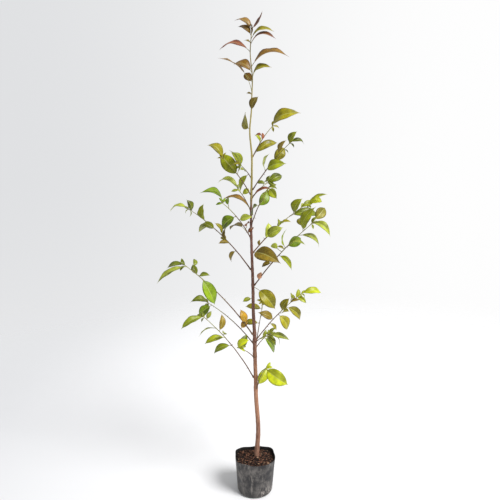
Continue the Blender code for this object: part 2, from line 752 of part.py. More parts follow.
def register_limbs(limbs, crowd):
    levels = heights(SOIL_TOP, LEADER_TOP, SAMPLE_STEP)
    for low in range(0, len(levels), TRUNK_GROUP):
        stretch = levels[low:low + TRUNK_GROUP + 1]
        points = np.array([trunk_point(level) for level in stretch])
        owner = "leader" if stretch[0] >= TRUNK_TOP else "trunk"
        crowd.add(owner, "limb", points, trunk_radius(stretch[0]) + LIMB_ROOM)
    for shoot in SHOOTS:
        limb = limbs[shoot.name]
        room = limb.base_radius + LIMB_ROOM
        if shoot.bare:
            crowd.add("bough_" + shoot.name, "limb", limb_samples(limb, 0.0, shoot.bare), room)
        crowd.add(shoot.name, "limb", limb_samples(limb, shoot.bare, 1.0), room)


def grow_mass(shoot, limb, crowd, parts):
    name = "foliage_" + shoot.name
    host = None if shoot.bare else "trunk"
    start = shoot.bare + (LIMB_GAP / limb.length if shoot.bare else 0.0)
    stem = limb_tube(name, limb, start, 1.0)
    draw = random.Random(shoot.name)
    pieces = []
    for number, leaf in enumerate(shoot.leaves):
        foot = limb.at(min(leaf.share, LAST_FOOT))
        blade = place_leaf(leaf, foot, draw, (-1) ** number, shoot.name, host, crowd)
        if blade is not None:
            pieces.append(blade_mesh("leaf", blade))
    for share, heading, lean, length, size in twiglets(limb, start, draw):
        foot = limb.at(share)
        line = swung(heading, lean)
        end = foot + line * length
        leaf = Leaf(share, heading, size, *TWIGLET_BLADE)
        blade = Blade(leaf, end - line * TWIGLET_OVERLAP, lean, TWIGLET_FOLD)
        points = blade.samples()
        if crowd.has_room(shoot.name, host, points):
            crowd.add(shoot.name, "leaf", points, LEAF_ROOM)
            radius = SHOOT_TIP_DIAMETER / 2.0
            pieces.append(tube("twiglet", [foot, end], [radius, radius], TWIGLET_SIDES))
            pieces.append(blade_mesh("leaf", blade))
    join_mass(name, stem, pieces, parts, MASS_FINISH.get(shoot.name, LEAF_GREEN))


def grow_leader(crowd, parts):
    low = TRUNK_TOP + LIMB_GAP
    stem = trunk_tube("foliage_leader", low, LEADER_TOP, LEADER_STEP)
    draw = random.Random("leader")
    pieces = []
    for number, leaf in enumerate(LEADER_LEAVES):
        height = low + (LEADER_TOP - low) * leaf.share + LEADER_FOOT_RISE
        foot = trunk_point(min(height, LEADER_TOP - LEADER_TIP_TUCK))
        blade = place_leaf(leaf, foot, draw, (-1) ** number, "leader", "trunk", crowd)
        if blade is not None:
            pieces.append(blade_mesh("leaf", blade))
    join_mass("foliage_leader", stem, pieces, parts, LEAF_BRONZE)


def grow_lone_leaf(name, host, leaf, limbs, crowd, parts):
    """A single leaf, its foot just clear of the limb that bears it."""
    if host == "trunk":
        middle = trunk_point(leaf.share)
        radius = trunk_radius(leaf.share)
        line = Vector((0.0, 0.0, 1.0))
    else:
        middle = limbs[host].at(leaf.share)
        radius = limbs[host].radius(leaf.share)
        line = limbs[host].direction(leaf.share)
    draw = random.Random(name)
    side = draw.choice((-1.0, 1.0))
    away = Blade(leaf, middle, 0.0, 0.0)
    start = (away.along + away.up * (4.0 * leaf.arch)).normalized()
    slant = max(0.5, start.cross(line).length)
    foot = middle + start * ((radius + FOOT_HALF_WIDTH + GAP * 2.0) / slant)
    limb = host if host == "trunk" else "bough_" + host
    blade = place_leaf(leaf, foot, draw, side, name, limb, crowd)
    if blade is not None:
        add_object(name, blade_mesh(name, blade), parts, LONE_FINISH[name])


def main():
    empty_scene()
    parts = make_collection(PLANT)
    cutters = make_collection("cutters")
    make_pot(parts, cutters)
    make_soil(parts)
    trunk = trunk_tube("trunk", SOIL_TOP + GAP, TRUNK_TOP, TRUNK_STEP)
    add_object("trunk", trunk, parts, BARK_BROWN)
    limbs = {shoot.name: Limb(shoot) for shoot in SHOOTS}
    crowd = Crowd()
    register_limbs(limbs, crowd)
    grow_leader(crowd, parts)
    for shoot in SHOOTS:
        limb = limbs[shoot.name]
        if shoot.bare:
            bough = limb_tube("bough", limb, 0.0, shoot.bare)
            add_object("bough_" + shoot.name, bough, parts, SHOOT_GREEN)
        grow_mass(shoot, limb, crowd, parts)
    for name, host, leaf in LONE_LEAVES:
        grow_lone_leaf(name, host, leaf, limbs, crowd, parts)


main()
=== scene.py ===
import functools
import json
import math
import random
from collections import namedtuple

import bmesh
import bpy
import numpy as np
from bpy.props import FloatProperty, FloatVectorProperty, IntProperty, PointerProperty
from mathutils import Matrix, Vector, noise

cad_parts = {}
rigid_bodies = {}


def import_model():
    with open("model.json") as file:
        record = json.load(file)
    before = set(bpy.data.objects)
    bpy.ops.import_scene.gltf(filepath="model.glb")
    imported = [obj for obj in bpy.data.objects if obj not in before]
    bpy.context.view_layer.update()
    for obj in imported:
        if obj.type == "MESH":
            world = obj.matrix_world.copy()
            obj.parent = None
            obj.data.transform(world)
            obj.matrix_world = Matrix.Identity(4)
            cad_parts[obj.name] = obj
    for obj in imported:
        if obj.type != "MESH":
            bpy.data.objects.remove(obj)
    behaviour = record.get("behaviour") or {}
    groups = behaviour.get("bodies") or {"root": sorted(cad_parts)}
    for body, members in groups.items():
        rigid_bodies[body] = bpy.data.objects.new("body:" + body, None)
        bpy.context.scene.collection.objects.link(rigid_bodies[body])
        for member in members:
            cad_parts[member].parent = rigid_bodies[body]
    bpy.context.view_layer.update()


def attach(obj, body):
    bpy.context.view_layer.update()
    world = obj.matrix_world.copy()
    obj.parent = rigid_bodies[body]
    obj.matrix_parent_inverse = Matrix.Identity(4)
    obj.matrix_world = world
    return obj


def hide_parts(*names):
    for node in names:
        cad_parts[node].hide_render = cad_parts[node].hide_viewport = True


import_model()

bl_info = {
    "name": "Potted Sakaki",
    "version": (1, 0, 0),
    "blender": (4, 5, 0),
    "location": "3D View > Sidebar > Sakaki",
    "description": "Grows the finished sapling, its soil and its soft pot round the fixed solids",
    "category": "Object",
}

GAP = 0.0003
LIMB_GAP = GAP * 1.5

# Pot, as in the solids: round at the foot, a squashed round-cornered square at the mouth
POT_HEIGHT = 0.090
FOOT_RADIUS = 0.0435
FOOT_EDGE = 0.009
MOUTH_HALF_WIDTH = 0.0500
MOUTH_HALF_DEPTH = 0.0470
MOUTH_SQUARENESS = 3.0
MOUTH_WAVE = 0.0011
MOUTH_WAVES = ((3.0, 0.6, 1.0), (5.0, 2.0, 0.6))
MOUTH_DENT = 0.0035
DENT_PLACE = math.radians(14.0)
DENT_SPREAD = math.radians(16.0)
DRAIN_HOLES = 6
DRAIN_RADIUS = 0.0042
DRAIN_RING = 0.024
DRAIN_SIDES = 20
DRAIN_DEPTH = 0.008
SOIL_TOP = 0.080

# Trunk, as in the solids
TRUNK_LEAN = (
    (0.080, 0.004), (0.155, 0.008), (0.260, 0.002), (0.380, -0.001), (0.480, -0.005),
    (0.680, -0.010), (0.820, -0.008), (0.884, -0.013), (0.940, -0.009), (1.000, -0.007),
    (1.060, -0.012), (1.115, -0.009),
)
TRUNK_SWAY = 0.004
SWAY_WAVES = ((9.0, 1.0), (17.0, -0.5))
TRUNK_TOP = 0.880
LEADER_TOP = 1.113
TRUNK_DIAMETER = 0.0120
TIP_DIAMETER = 0.0018
TRUNK_TAPER = 1.15
FLARE_WIDTH = 0.0030
FLARE_HEIGHT = 0.012
LEADER_FOOT_RISE = 0.002
LEADER_TIP_TUCK = 0.001

# Shoots and leaves, as in the solids
SHOOT_BASE_DIAMETER = 0.0018
SHOOT_GIRTH_PER_LENGTH = 0.0060
SHOOT_TIP_DIAMETER = 0.0013
LAST_FOOT = 0.995
MOST_FORESHORTENING = 0.85
FOOT_HALF_WIDTH = 0.0006
OVAL_END = 0.93
OVAL_FULLNESS = (0.9, 0.75)
DRIP_WIDTH = 0.10
DRIP_LENGTH = 0.12
SWING = (8.0, 28.0)
FOLD = (10.0, 24.0)
SWING_TRIES = (0.0, 14.0, -14.0, 28.0, -28.0, 42.0, -42.0, 56.0, -56.0)
LEAF_ROOM = 0.0055
SISTER_ROOM = 0.0025
LIMB_ROOM = 0.0035
SAMPLE_STEP = 0.003
SAMPLES_ALONG = 20
SAMPLES_ACROSS = 7
TRUNK_GROUP = 40
TWIGLET_SPACING = 0.060
TWIGLET_PLACE = (0.35, 0.75)
TWIGLET_LEAN = (40.0, 70.0)
TWIGLET_LENGTH = (0.009, 0.018)
TWIGLET_LEAF = (0.018, 0.028)
TWIGLET_BLADE = (40, 0.42)
TWIGLET_FOLD = 15.0
TWIGLET_OVERLAP = 0.001

Leaf = namedtuple(
    "Leaf", "share heading length face broad arch stalk", defaults=(50, 0.36, 0.2, 0.1))
Shoot = namedtuple("Shoot", "name height azimuth rise length bend bare leaves")


# The spray tables, as in the solids

SHOOTS = (
    Shoot("left_top", 0.777, 115, 27, 0.068, 0.03, 0.0, (
        Leaf(0.25, 245, 0.045, 70, 0.42),
        Leaf(1.0, 128, 0.040, 75, 0.60),
    )),
    Shoot("left_upper", 0.739, 224, 42, 0.116, 0.04, 0.32, (
        Leaf(0.50, 130, 0.066, 80, 0.42, 0.12),
        Leaf(0.54, 106, 0.056, 55, 0.42),
        Leaf(1.0, 140, 0.048, 45, 0.38, 0.35),
    )),
    Shoot("left_bent", 0.700, 113, 31, 0.095, 0.05, 0.40, (
        Leaf(0.70, 42, 0.022, 70, 0.55),
        Leaf(0.80, 150, 0.016, 40, 0.45),
        Leaf(1.0, 159, 0.056, 28, 0.30, 0.34),
    )),
    Shoot("left_inner", 0.638, 233, 38, 0.134, 0.05, 0.0, (
        Leaf(0.10, 45, 0.020, 50, 0.40),
        Leaf(0.45, 14, 0.032, 60, 0.45),
        Leaf(0.56, 224, 0.045, 70, 0.60),
        Leaf(1.0, 156, 0.052, 40, 0.38, 0.36),
    )),
    Shoot("left_wide", 0.561, 159, 40, 0.221, 0.05, 0.20, (
        Leaf(0.26, 250, 0.032, 75, 0.60),
        Leaf(0.36, 178, 0.028, 35, 0.40),
        Leaf(0.42, 92, 0.030, 60, 0.36),
        Leaf(0.50, 118, 0.034, 60, 0.42),
        Leaf(0.60, 154, 0.034, 60, 0.42),
        Leaf(0.68, 215, 0.032, -60, 0.50),
        Leaf(0.75, 96, 0.042, 75, 0.58),
        Leaf(0.95, 112, 0.030, 78, 0.68),
        Leaf(1.0, 189, 0.050, 25, 0.30, 0.24),
    )),
    Shoot("left_long", 0.401, 204, 46, 0.251, 0.04, 0.70, (
        Leaf(0.79, 295, 0.072, 78, 0.38, 0.12),
        Leaf(0.82, 8, 0.027, 40, 0.40),
        Leaf(0.84, 118, 0.026, 50, 0.45),
        Leaf(0.97, 208, 0.074, 28, 0.20, 0.14),
        Leaf(1.0, 195, 0.046, 35, 0.32, 0.16),
    )),
    Shoot("left_low", 0.377, 143, 28, 0.171, 0.05, 0.84, (
        Leaf(0.92, 224, 0.048, 72, 0.52),
        Leaf(1.0, 174, 0.046, 40, 0.36, 0.34),
    )),
    Shoot("left_short", 0.343, 240, 29, 0.093, 0.04, 0.55, (
        Leaf(0.85, 66, 0.036, 65, 0.42),
        Leaf(1.0, 38, 0.036, 60, 0.42, 0.25),
    )),
    Shoot("left_foot", 0.292, 206, 51, 0.214, 0.04, 0.44, (
        Leaf(0.50, 210, 0.050, 42, 0.34, 0.24),
        Leaf(0.63, 195, 0.050, 35, 0.32, 0.22),
        Leaf(0.74, 82, 0.040, 60, 0.34),
        Leaf(0.79, 205, 0.044, -30, 0.22),
        Leaf(0.95, 60, 0.022, 50, 0.40),
        Leaf(1.0, 206, 0.056, 35, 0.28),
    )),
    Shoot("right_foot", 0.265, 290, 48, 0.095, 0.05, 0.0, (
        Leaf(0.12, 60, 0.048, 65, 0.42),
        Leaf(1.0, 328, 0.062, 75, 0.48, 0.28),
    )),
    Shoot("right_rear", 0.364, 62, 12, 0.075, 0.04, 0.0, (
        Leaf(0.60, 70, 0.024, 40, 0.30),
        Leaf(0.80, 338, 0.030, 35, 0.26),
        Leaf(1.0, 40, 0.028, 45, 0.30),
    )),
    Shoot("right_hang", 0.382, 300, 26, 0.077, 0.04, 0.0, (
        Leaf(0.55, 299, 0.058, 75, 0.30, 0.14),
        Leaf(0.75, 316, 0.032, 40, 0.30, 0.26),
        Leaf(0.95, 315, 0.036, 20, 0.22, 0.28),
        Leaf(1.0, 350, 0.046, 40, 0.26, 0.2),
    )),
    Shoot("right_low", 0.387, 25, 38, 0.166, 0.04, 0.25, (
        Leaf(0.31, 310, 0.026, 50, 0.36),
        Leaf(0.39, 153, 0.044, 60, 0.40),
        Leaf(0.50, 299, 0.050, 78, 0.52),
        Leaf(0.58, 61, 0.038, 72, 0.55),
        Leaf(0.67, 314, 0.055, 66, 0.38),
        Leaf(0.76, 22, 0.026, 40, 0.36),
        Leaf(0.88, 72, 0.024, 60, 0.42),
        Leaf(0.91, 330, 0.026, 50, 0.38),
        Leaf(1.0, 358, 0.054, 45, 0.32, 0.26),
    )),
    Shoot("right_wide", 0.524, 329, 45, 0.216, 0.03, 0.28, (
        Leaf(0.34, 205, 0.026, 45, 0.45),
        Leaf(0.46, 313, 0.044, 42, 0.26, 0.34),
        Leaf(0.56, 160, 0.018, 40, 0.36),
        Leaf(0.58, 86, 0.044, 50, 0.36),
        Leaf(0.60, 28, 0.040, 72, 0.48),
        Leaf(0.66, 353, 0.034, 30, 0.22, 0.26),
        Leaf(0.79, 329, 0.056, 45, 0.27, 0.3),
        Leaf(0.86, 66, 0.060, 76, 0.42),
        Leaf(0.96, 46, 0.052, 60, 0.36, 0.18, 0.3),
        Leaf(1.0, 324, 0.046, 40, 0.32, 0.32),
    )),
    Shoot("right_mid", 0.602, 30, 35, 0.195, 0.04, 0.16, (
        Leaf(0.23, 78, 0.040, 78, 0.55),
        Leaf(0.26, 32, 0.046, 72, 0.55),
        Leaf(0.45, 82, 0.022, 65, 0.45),
        Leaf(0.52, 14, 0.026, 40, 0.32),
        Leaf(0.70, 358, 0.074, 50, 0.30, 0.22),
        Leaf(0.76, 62, 0.042, 78, 0.60),
        Leaf(0.90, 22, 0.034, 50, 0.36),
        Leaf(0.97, 28, 0.060, 40, 0.18, 0.12, 0.35),
        Leaf(1.0, 10, 0.042, 55, 0.38, 0.3),
    )),
    Shoot("right_inner", 0.670, 294, 42, 0.126, 0.04, 0.34, (
        Leaf(0.44, 60, 0.040, 76, 0.58),
        Leaf(0.48, 238, 0.038, -60, 0.42),
        Leaf(0.94, 266, 0.034, 45, 0.26),
        Leaf(1.0, 306, 0.030, 70, 0.48, 0.2, 0.2),
    )),
    Shoot("right_dark", 0.729, 61, 24, 0.093, 0.04, 0.0, (
        Leaf(0.88, 176, 0.024, 50, 0.42),
        Leaf(0.94, 62, 0.022, 45, 0.40),
        Leaf(1.0, 26, 0.042, 62, 0.44),
    )),
    Shoot("right_upper", 0.750, 330, 46, 0.144, 0.03, 0.32, (
        Leaf(0.38, 75, 0.042, -70, 0.42),
        Leaf(0.40, 17, 0.046, 72, 0.44, 0.22),
        Leaf(0.58, 50, 0.042, 72, 0.48),
        Leaf(0.73, 62, 0.034, 72, 0.52),
        Leaf(0.84, 320, 0.014, 40, 0.40),
        Leaf(0.97, 58, 0.031, 74, 0.56),
        Leaf(1.0, 357, 0.032, 45, 0.36, 0.32),
    )),
    Shoot("right_top", 0.826, 45, 47, 0.104, 0.04, 0.0, (
        Leaf(0.06, 27, 0.064, 55, 0.28, 0.26),
        Leaf(0.38, 124, 0.023, 66, 0.48),
        Leaf(0.48, 85, 0.019, 40, 0.36),
        Leaf(1.0, 21, 0.070, 66, 0.36, 0.3),
    )),
    Shoot("back_low", 0.352, 78, 42, 0.155, 0.05, 0.30, (
        Leaf(0.52, 185, 0.042, 50, 0.34),
        Leaf(0.66, 20, 0.032, 40, 0.34),
        Leaf(0.82, 173, 0.044, 50, 0.34),
        Leaf(1.0, 118, 0.030, 40, 0.26),
    )),
)

# The leader's leaves, from its foot to its tip
LEADER_LEAVES = (
    Leaf(0.02, 100, 0.056, 82, 0.52, 0.12),
    Leaf(0.21, 62, 0.034, 78, 0.58),
    Leaf(0.36, 165, 0.014, 40, 0.30),
    Leaf(0.38, 137, 0.098, 25, 0.16, 0.16, 0.42),
    Leaf(0.48, 125, 0.030, 60, 0.55),
    Leaf(0.52, 22, 0.048, 42, 0.32, 0.3),
    Leaf(0.57, 151, 0.050, 38, 0.28, 0.26),
    Leaf(0.63, 12, 0.088, 30, 0.20, 0.24),
    Leaf(0.77, 176, 0.072, 30, 0.22, 0.27),
    Leaf(0.84, 8, 0.057, 32, 0.25, 0.28),
    Leaf(0.85, 153, 0.017, 30, 0.28),
    Leaf(0.89, 14, 0.054, 35, 0.24, 0.26),
    Leaf(0.92, 145, 0.038, 40, 0.30, 0.26),
    Leaf(0.93, 96, 0.026, 60, 0.38, 0.1),
    Leaf(0.98, 149, 0.045, 34, 0.27, 0.24),
    Leaf(1.0, 52, 0.040, 55, 0.30, -0.1),
)

# Single leaves: the limb each one stands on, and for the trunk its height in place of a share
LONE_LEAVES = (
    ("leaf_right_hanging", "trunk", Leaf(0.519, 314, 0.070, 56, 0.42, 0.32, 0.22)),
    ("leaf_left_small", "trunk", Leaf(0.490, 199, 0.022, 50, 0.45)),
    ("leaf_right_brown", "trunk", Leaf(0.600, 343, 0.072, 50, 0.38, 0.2)),
    ("leaf_left_arched", "trunk", Leaf(0.699, 164, 0.070, 24, 0.24, 0.28)),
    ("leaf_left_thin", "trunk", Leaf(0.636, 170, 0.071, 18, 0.24, 0.26, 0.3)),
    ("leaf_right_arched", "trunk", Leaf(0.731, 7, 0.054, 22, 0.24, 0.26)),
    ("leaf_left_gold", "left_long", Leaf(0.13, 108, 0.036, 70, 0.46)),
    ("leaf_low_gold", "left_low", Leaf(0.28, 55, 0.027, 66, 0.55)),
)

# Which tint each listed leaf has, in the order of the lists above
TINTS = {
    "left_top": "gg", "left_upper": "gdo", "left_bent": "gpp", "left_inner": "rpbb",
    "left_wide": "kkkogugdp", "left_long": "bddpd", "left_low": "bd", "left_short": "dl",
    "left_foot": "dgkupd", "right_foot": "ll", "right_rear": "ppp", "right_hang": "bgup",
    "right_low": "okoooklll", "right_wide": "kgobbppgop", "right_mid": "ppgodggll",
    "right_inner": "budg", "right_dark": "ddd", "right_upper": "ugokdgd", "right_top": "ogro",
    "back_low": "oooo", "leader": "okkzzozzrrkozzzr",
    "leaf_right_hanging": "o", "leaf_left_small": "g", "leaf_right_brown": "k",
    "leaf_left_arched": "z", "leaf_left_thin": "k", "leaf_right_arched": "r",
    "leaf_left_gold": "y", "leaf_low_gold": "y",
}


# The plant's rule, as in the solids

def ease(share):
    return share * share * (3.0 - 2.0 * share)


def trunk_point(height):
    """The middle of the trunk or leader at a height."""
    side = TRUNK_LEAN[-1][1]
    for (low, low_side), (high, high_side) in zip(TRUNK_LEAN, TRUNK_LEAN[1:]):
        if height <= high:
            share = ease(max(0.0, (height - low) / (high - low)))
            side = low_side + (high_side - low_side) * share
            break
    sway = sum(push * math.sin((height - SOIL_TOP) * turns) for turns, push in SWAY_WAVES)
    return Vector((side, TRUNK_SWAY * sway, height))


def trunk_radius(height):
    share = (height - SOIL_TOP) / (LEADER_TOP - SOIL_TOP)
    slim = TIP_DIAMETER + (TRUNK_DIAMETER - TIP_DIAMETER) * max(0.0, 1.0 - share) ** TRUNK_TAPER
    flare = FLARE_WIDTH * math.exp(-(height - SOIL_TOP) / FLARE_HEIGHT)
    return (slim + flare) / 2.0


def heights(low, high, step):
    count = max(2, math.ceil((high - low) / step))
    return [low + (high - low) * index / count for index in range(count + 1)]


class Limb:
    """A shoot as a bent line from its foot on the trunk to its tip, with its radius."""

    def __init__(self, shoot):
        azimuth = math.radians(shoot.azimuth)
        rise = math.radians(shoot.rise)
        self.out = Vector((math.cos(azimuth), math.sin(azimuth), 0.0))
        along = self.out * math.cos(rise) + Vector((0.0, 0.0, math.sin(rise)))
        above = Vector((0.0, 0.0, math.cos(rise))) - self.out * math.sin(rise)
        self.base_radius = (SHOOT_BASE_DIAMETER + SHOOT_GIRTH_PER_LENGTH * shoot.length) / 2.0
        clear = trunk_radius(shoot.height) + self.base_radius * math.sin(rise) + LIMB_GAP
        middle = trunk_point(shoot.height)
        self.foot = middle + self.out * clear
        self.tip = middle + along * shoot.length
        self.control = (self.foot + self.tip) / 2.0 + above * (2.0 * shoot.bend * shoot.length)
        self.length = (self.tip - self.foot).length

    def at(self, share):
        rest = 1.0 - share
        return self.foot * rest ** 2 + self.control * (2.0 * rest * share) + self.tip * share ** 2

    def direction(self, share):
        rest = 1.0 - share
        slope = (self.control - self.foot) * rest + (self.tip - self.control) * share
        return slope.normalized()

    def radius(self, share):
        return self.base_radius + (SHOOT_TIP_DIAMETER / 2.0 - self.base_radius) * share


def swung(heading, swing):
    """A direction by its heading seen from the front and its swing away from the viewer."""
    heading = math.radians(heading)
    swing = math.radians(swing)
    across = math.cos(heading) * math.cos(swing)
    return Vector((across, math.sin(swing), math.sin(heading) * math.cos(swing)))


class Blade:
    """One leaf's place: an arched, folded blade that hangs on its stalk."""

    def __init__(self, leaf, foot, swing, fold):
        self.along = swung(leaf.heading, swing)
        above = Vector((0.0, 0.0, 1.0)) - self.along * self.along.z
        above.normalize()
        to_front = self.along.cross(above)
        if to_front.y > 0.0:
            to_front.negate()
        face = math.radians(leaf.face)
        self.up = above * math.cos(face) + to_front * math.sin(face)
        self.across = self.along.cross(self.up)
        self.foot = foot
        self.length = leaf.length / max(MOST_FORESHORTENING, math.cos(math.radians(swing)))
        self.half_width = self.length * leaf.broad / 2.0
        self.arch = leaf.arch
        self.stalk = leaf.stalk
        self.fold = math.tan(math.radians(fold))

    def width_share(self, share):
        """Half width as a share of the widest: an oval that ends in a drip tip."""
        blade = max(0.0, (share - self.stalk) / (1.0 - self.stalk))
        along, across = OVAL_FULLNESS
        oval = 0.0
        if 0.0 < blade < OVAL_END:
            oval = math.sin(math.pi * (blade / OVAL_END) ** along) ** across
        drip = DRIP_WIDTH * (1.0 - blade) / DRIP_LENGTH if blade > 0.5 else 0.0
        return max(oval, min(drip, DRIP_WIDTH))

    def point(self, share, side, lift=0.0):
        """A point at a share of the length, from -1 to 1 across, lifted off the blade."""
        bow = 4.0 * self.arch * share * (1.0 - share)
        slope = 4.0 * self.arch * (1.0 - 2.0 * share)
        normal = (self.up - self.along * slope).normalized()
        half = max(self.half_width * self.width_share(share), FOOT_HALF_WIDTH)
        rise = abs(side) * half * self.fold + lift
        middle = self.foot + (self.along * share + self.up * bow) * self.length
        return middle + self.across * (side * half) + normal * rise

    def samples(self):
        along = np.linspace(0.06, 1.0, SAMPLES_ALONG)
        across = np.linspace(-1.0, 1.0, SAMPLES_ACROSS)
        return np.array([self.point(share, side) for share in along for side in across])


class Crowd:
    """Sample points of each limb and leaf that stands, so that the next leaf keeps clear."""

    def __init__(self):
        self.groups = []

    def add(self, owner, kind, points, room):
        centre = points.mean(axis=0)
        reach = np.linalg.norm(points - centre, axis=1).max()
        self.groups.append((owner, kind, points, centre, reach, room))

    def has_room(self, owner, host, points):
        """Whether a leaf's points keep off all others; near its foot it may pass its host."""
        centre = points.mean(axis=0)
        reach = np.linalg.norm(points - centre, axis=1).max()
        beyond_foot = points[len(points) // 7:]
        outer = points[len(points) // 3:]
        for other, kind, others, middle, spread, room in self.groups:
            sister = other == owner
            if sister and kind == "limb":
                continue
            gap = SISTER_ROOM if sister else room
            if np.linalg.norm(centre - middle) > reach + spread + gap:
                continue
            mine = outer if sister else beyond_foot if other == host else points
            apart = np.linalg.norm(mine[:, None, :] - others[None, :, :], axis=2)
            if apart.min() < gap:
                return False
        return True


def limb_samples(limb, start=0.0, end=1.0):
    count = max(4, int(limb.length * (end - start) / SAMPLE_STEP))
    return np.array([limb.at(share) for share in np.linspace(start, end, count)])


def place_leaf(leaf, foot, draw, side, owner, host, crowd):
    """The leaf's blade, swung towards or away from the viewer until it stands clear."""
    swing = side * draw.uniform(*SWING)
    fold = draw.uniform(*FOLD)
    for turn in SWING_TRIES:
        blade = Blade(leaf, foot, swing + turn, fold)
        points = blade.samples()
        if crowd.has_room(owner, host, points):
            crowd.add(owner, "leaf", points, LEAF_ROOM)
            return blade
    return None


def twiglets(limb, start, draw):
    """Small side twigs by a seeded rule: where each stands, its line and its own little leaf."""
    stretch = limb.length * (1.0 - start)
    count = int(stretch / TWIGLET_SPACING)
    for index in range(count):
        share = start + (1.0 - start) * (index + draw.uniform(*TWIGLET_PLACE)) / count
        lean = draw.choice((-1.0, 1.0)) * draw.uniform(*TWIGLET_LEAN)
        heading = draw.uniform(0.0, 180.0)
        length = draw.uniform(*TWIGLET_LENGTH)
        size = draw.uniform(*TWIGLET_LEAF)
        yield share, heading, lean, length, size


def register_limbs(limbs, crowd):
    levels = heights(SOIL_TOP, LEADER_TOP, SAMPLE_STEP)
    for low in range(0, len(levels), TRUNK_GROUP):
        stretch = levels[low:low + TRUNK_GROUP + 1]
        points = np.array([trunk_point(level) for level in stretch])
        owner = "leader" if stretch[0] >= TRUNK_TOP else "trunk"
        crowd.add(owner, "limb", points, trunk_radius(stretch[0]) + LIMB_ROOM)
    for shoot in SHOOTS:
        limb = limbs[shoot.name]
        room = limb.base_radius + LIMB_ROOM
        if shoot.bare:
            crowd.add("bough_" + shoot.name, "limb", limb_samples(limb, 0.0, shoot.bare), room)
        crowd.add(shoot.name, "limb", limb_samples(limb, shoot.bare, 1.0), room)


Grown = namedtuple("Grown", "blade tint node spray number")
Plan = namedtuple("Plan", "limbs leaves twigs")


def lone_foot(host, leaf, limbs):
    """Where a single leaf stands just clear of the limb that bears it."""
    if host == "trunk":
        middle = trunk_point(leaf.share)
        radius = trunk_radius(leaf.share)
        line = Vector((0.0, 0.0, 1.0))
    else:
        middle = limbs[host].at(leaf.share)
        radius = limbs[host].radius(leaf.share)
        line = limbs[host].direction(leaf.share)
    away = Blade(leaf, middle, 0.0, 0.0)
    start = (away.along + away.up * (4.0 * leaf.arch)).normalized()
    slant = max(0.5, start.cross(line).length)
    return middle + start * ((radius + FOOT_HALF_WIDTH + GAP * 2.0) / slant), middle


@functools.lru_cache(maxsize=None)
def plan():
    """Every leaf and side twig of the plant, placed by the rule of the solids."""
    limbs = {shoot.name: Limb(shoot) for shoot in SHOOTS}
    crowd = Crowd()
    register_limbs(limbs, crowd)
    leaves = []
    twigs = []
    low = TRUNK_TOP + LIMB_GAP
    draw = random.Random("leader")
    for number, leaf in enumerate(LEADER_LEAVES):
        height = low + (LEADER_TOP - low) * leaf.share + LEADER_FOOT_RISE
        foot = trunk_point(min(height, LEADER_TOP - LEADER_TIP_TUCK))
        blade = place_leaf(leaf, foot, draw, (-1) ** number, "leader", "trunk", crowd)
        if blade is not None:
            tint = TINTS["leader"][number]
            leaves.append(Grown(blade, tint, "foliage_leader", "leader", number))
    for shoot in SHOOTS:
        limb = limbs[shoot.name]
        node = "foliage_" + shoot.name
        host = None if shoot.bare else "trunk"
        start = shoot.bare + (LIMB_GAP / limb.length if shoot.bare else 0.0)
        draw = random.Random(shoot.name)
        tints = TINTS[shoot.name]
        for number, leaf in enumerate(shoot.leaves):
            foot = limb.at(min(leaf.share, LAST_FOOT))
            blade = place_leaf(leaf, foot, draw, (-1) ** number, shoot.name, host, crowd)
            if blade is not None:
                leaves.append(Grown(blade, tints[number], node, shoot.name, number))
        for number, twig in enumerate(twiglets(limb, start, draw)):
            share, heading, lean, length, size = twig
            foot = limb.at(share)
            line = swung(heading, lean)
            end = foot + line * length
            leaf = Leaf(share, heading, size, *TWIGLET_BLADE)
            blade = Blade(leaf, end - line * TWIGLET_OVERLAP, lean, TWIGLET_FOLD)
            points = blade.samples()
            if crowd.has_room(shoot.name, host, points):
                crowd.add(shoot.name, "leaf", points, LEAF_ROOM)
                twigs.append((shoot.name, share, foot, end))
                tint = tints[int(share * len(tints)) % len(tints)]
                leaves.append(Grown(blade, tint, node, shoot.name, len(tints) + number))
    for name, host, leaf in LONE_LEAVES:
        foot, middle = lone_foot(host, leaf, limbs)
        draw = random.Random(name)
        side = draw.choice((-1.0, 1.0))
        limb = host if host == "trunk" else "bough_" + host
        blade = place_leaf(leaf, foot, draw, side, name, limb, crowd)
        if blade is not None:
            leaves.append(Grown(blade, TINTS[name], name, name, 0))
    return Plan(limbs, leaves, twigs)


# Turning points and faces into finished pieces

def write_mark(mesh, mark, domain, values, kind="FLOAT"):
    """One number, or one vector where the kind says so, for each point or face."""
    layer = mesh.attributes.new(mark, kind, domain)
    field = "value" if kind == "FLOAT" else "vector"
    layer.data.foreach_set(field, np.asarray(values, np.float32).ravel())


def mesh_of(name, points, faces, marks=()):
    """A smooth mesh with float marks: (name, domain, values)."""
    mesh = bpy.data.meshes.new(name)
    mesh.from_pydata([tuple(point) for point in points], [], [tuple(face) for face in faces])
    for mark, domain, values in marks:
        write_mark(mesh, mark, domain, values)
    mesh.shade_smooth()
    mesh.update()
    return mesh


def angles(count):
    return [2.0 * math.pi * index / count for index in range(count)]


def ring_faces(count, sides, start=0):
    """The faces between rings of points that follow each other."""
    faces = []
    for low in range(start, start + (count - 1) * sides, sides):
        for side in range(sides):
            after = (side + 1) % sides
            high = low + sides
            faces.append((low + side, low + after, high + after, high + side))
    return faces


def closed_faces(count, sides):
    """The faces of a skin of rings, closed at its first and its last ring."""
    first = tuple(range(sides - 1, -1, -1))
    last = tuple(range((count - 1) * sides, count * sides))
    return ring_faces(count, sides) + [first, last]


def placed(name, data):
    """A new object in the scene."""
    made = bpy.data.objects.new(name, data)
    bpy.context.scene.collection.objects.link(made)
    return made


def evaluated_mesh(item):
    """The plain mesh that an object's modifiers make."""
    graph = bpy.context.evaluated_depsgraph_get()
    return bpy.data.meshes.new_from_object(item.evaluated_get(graph))


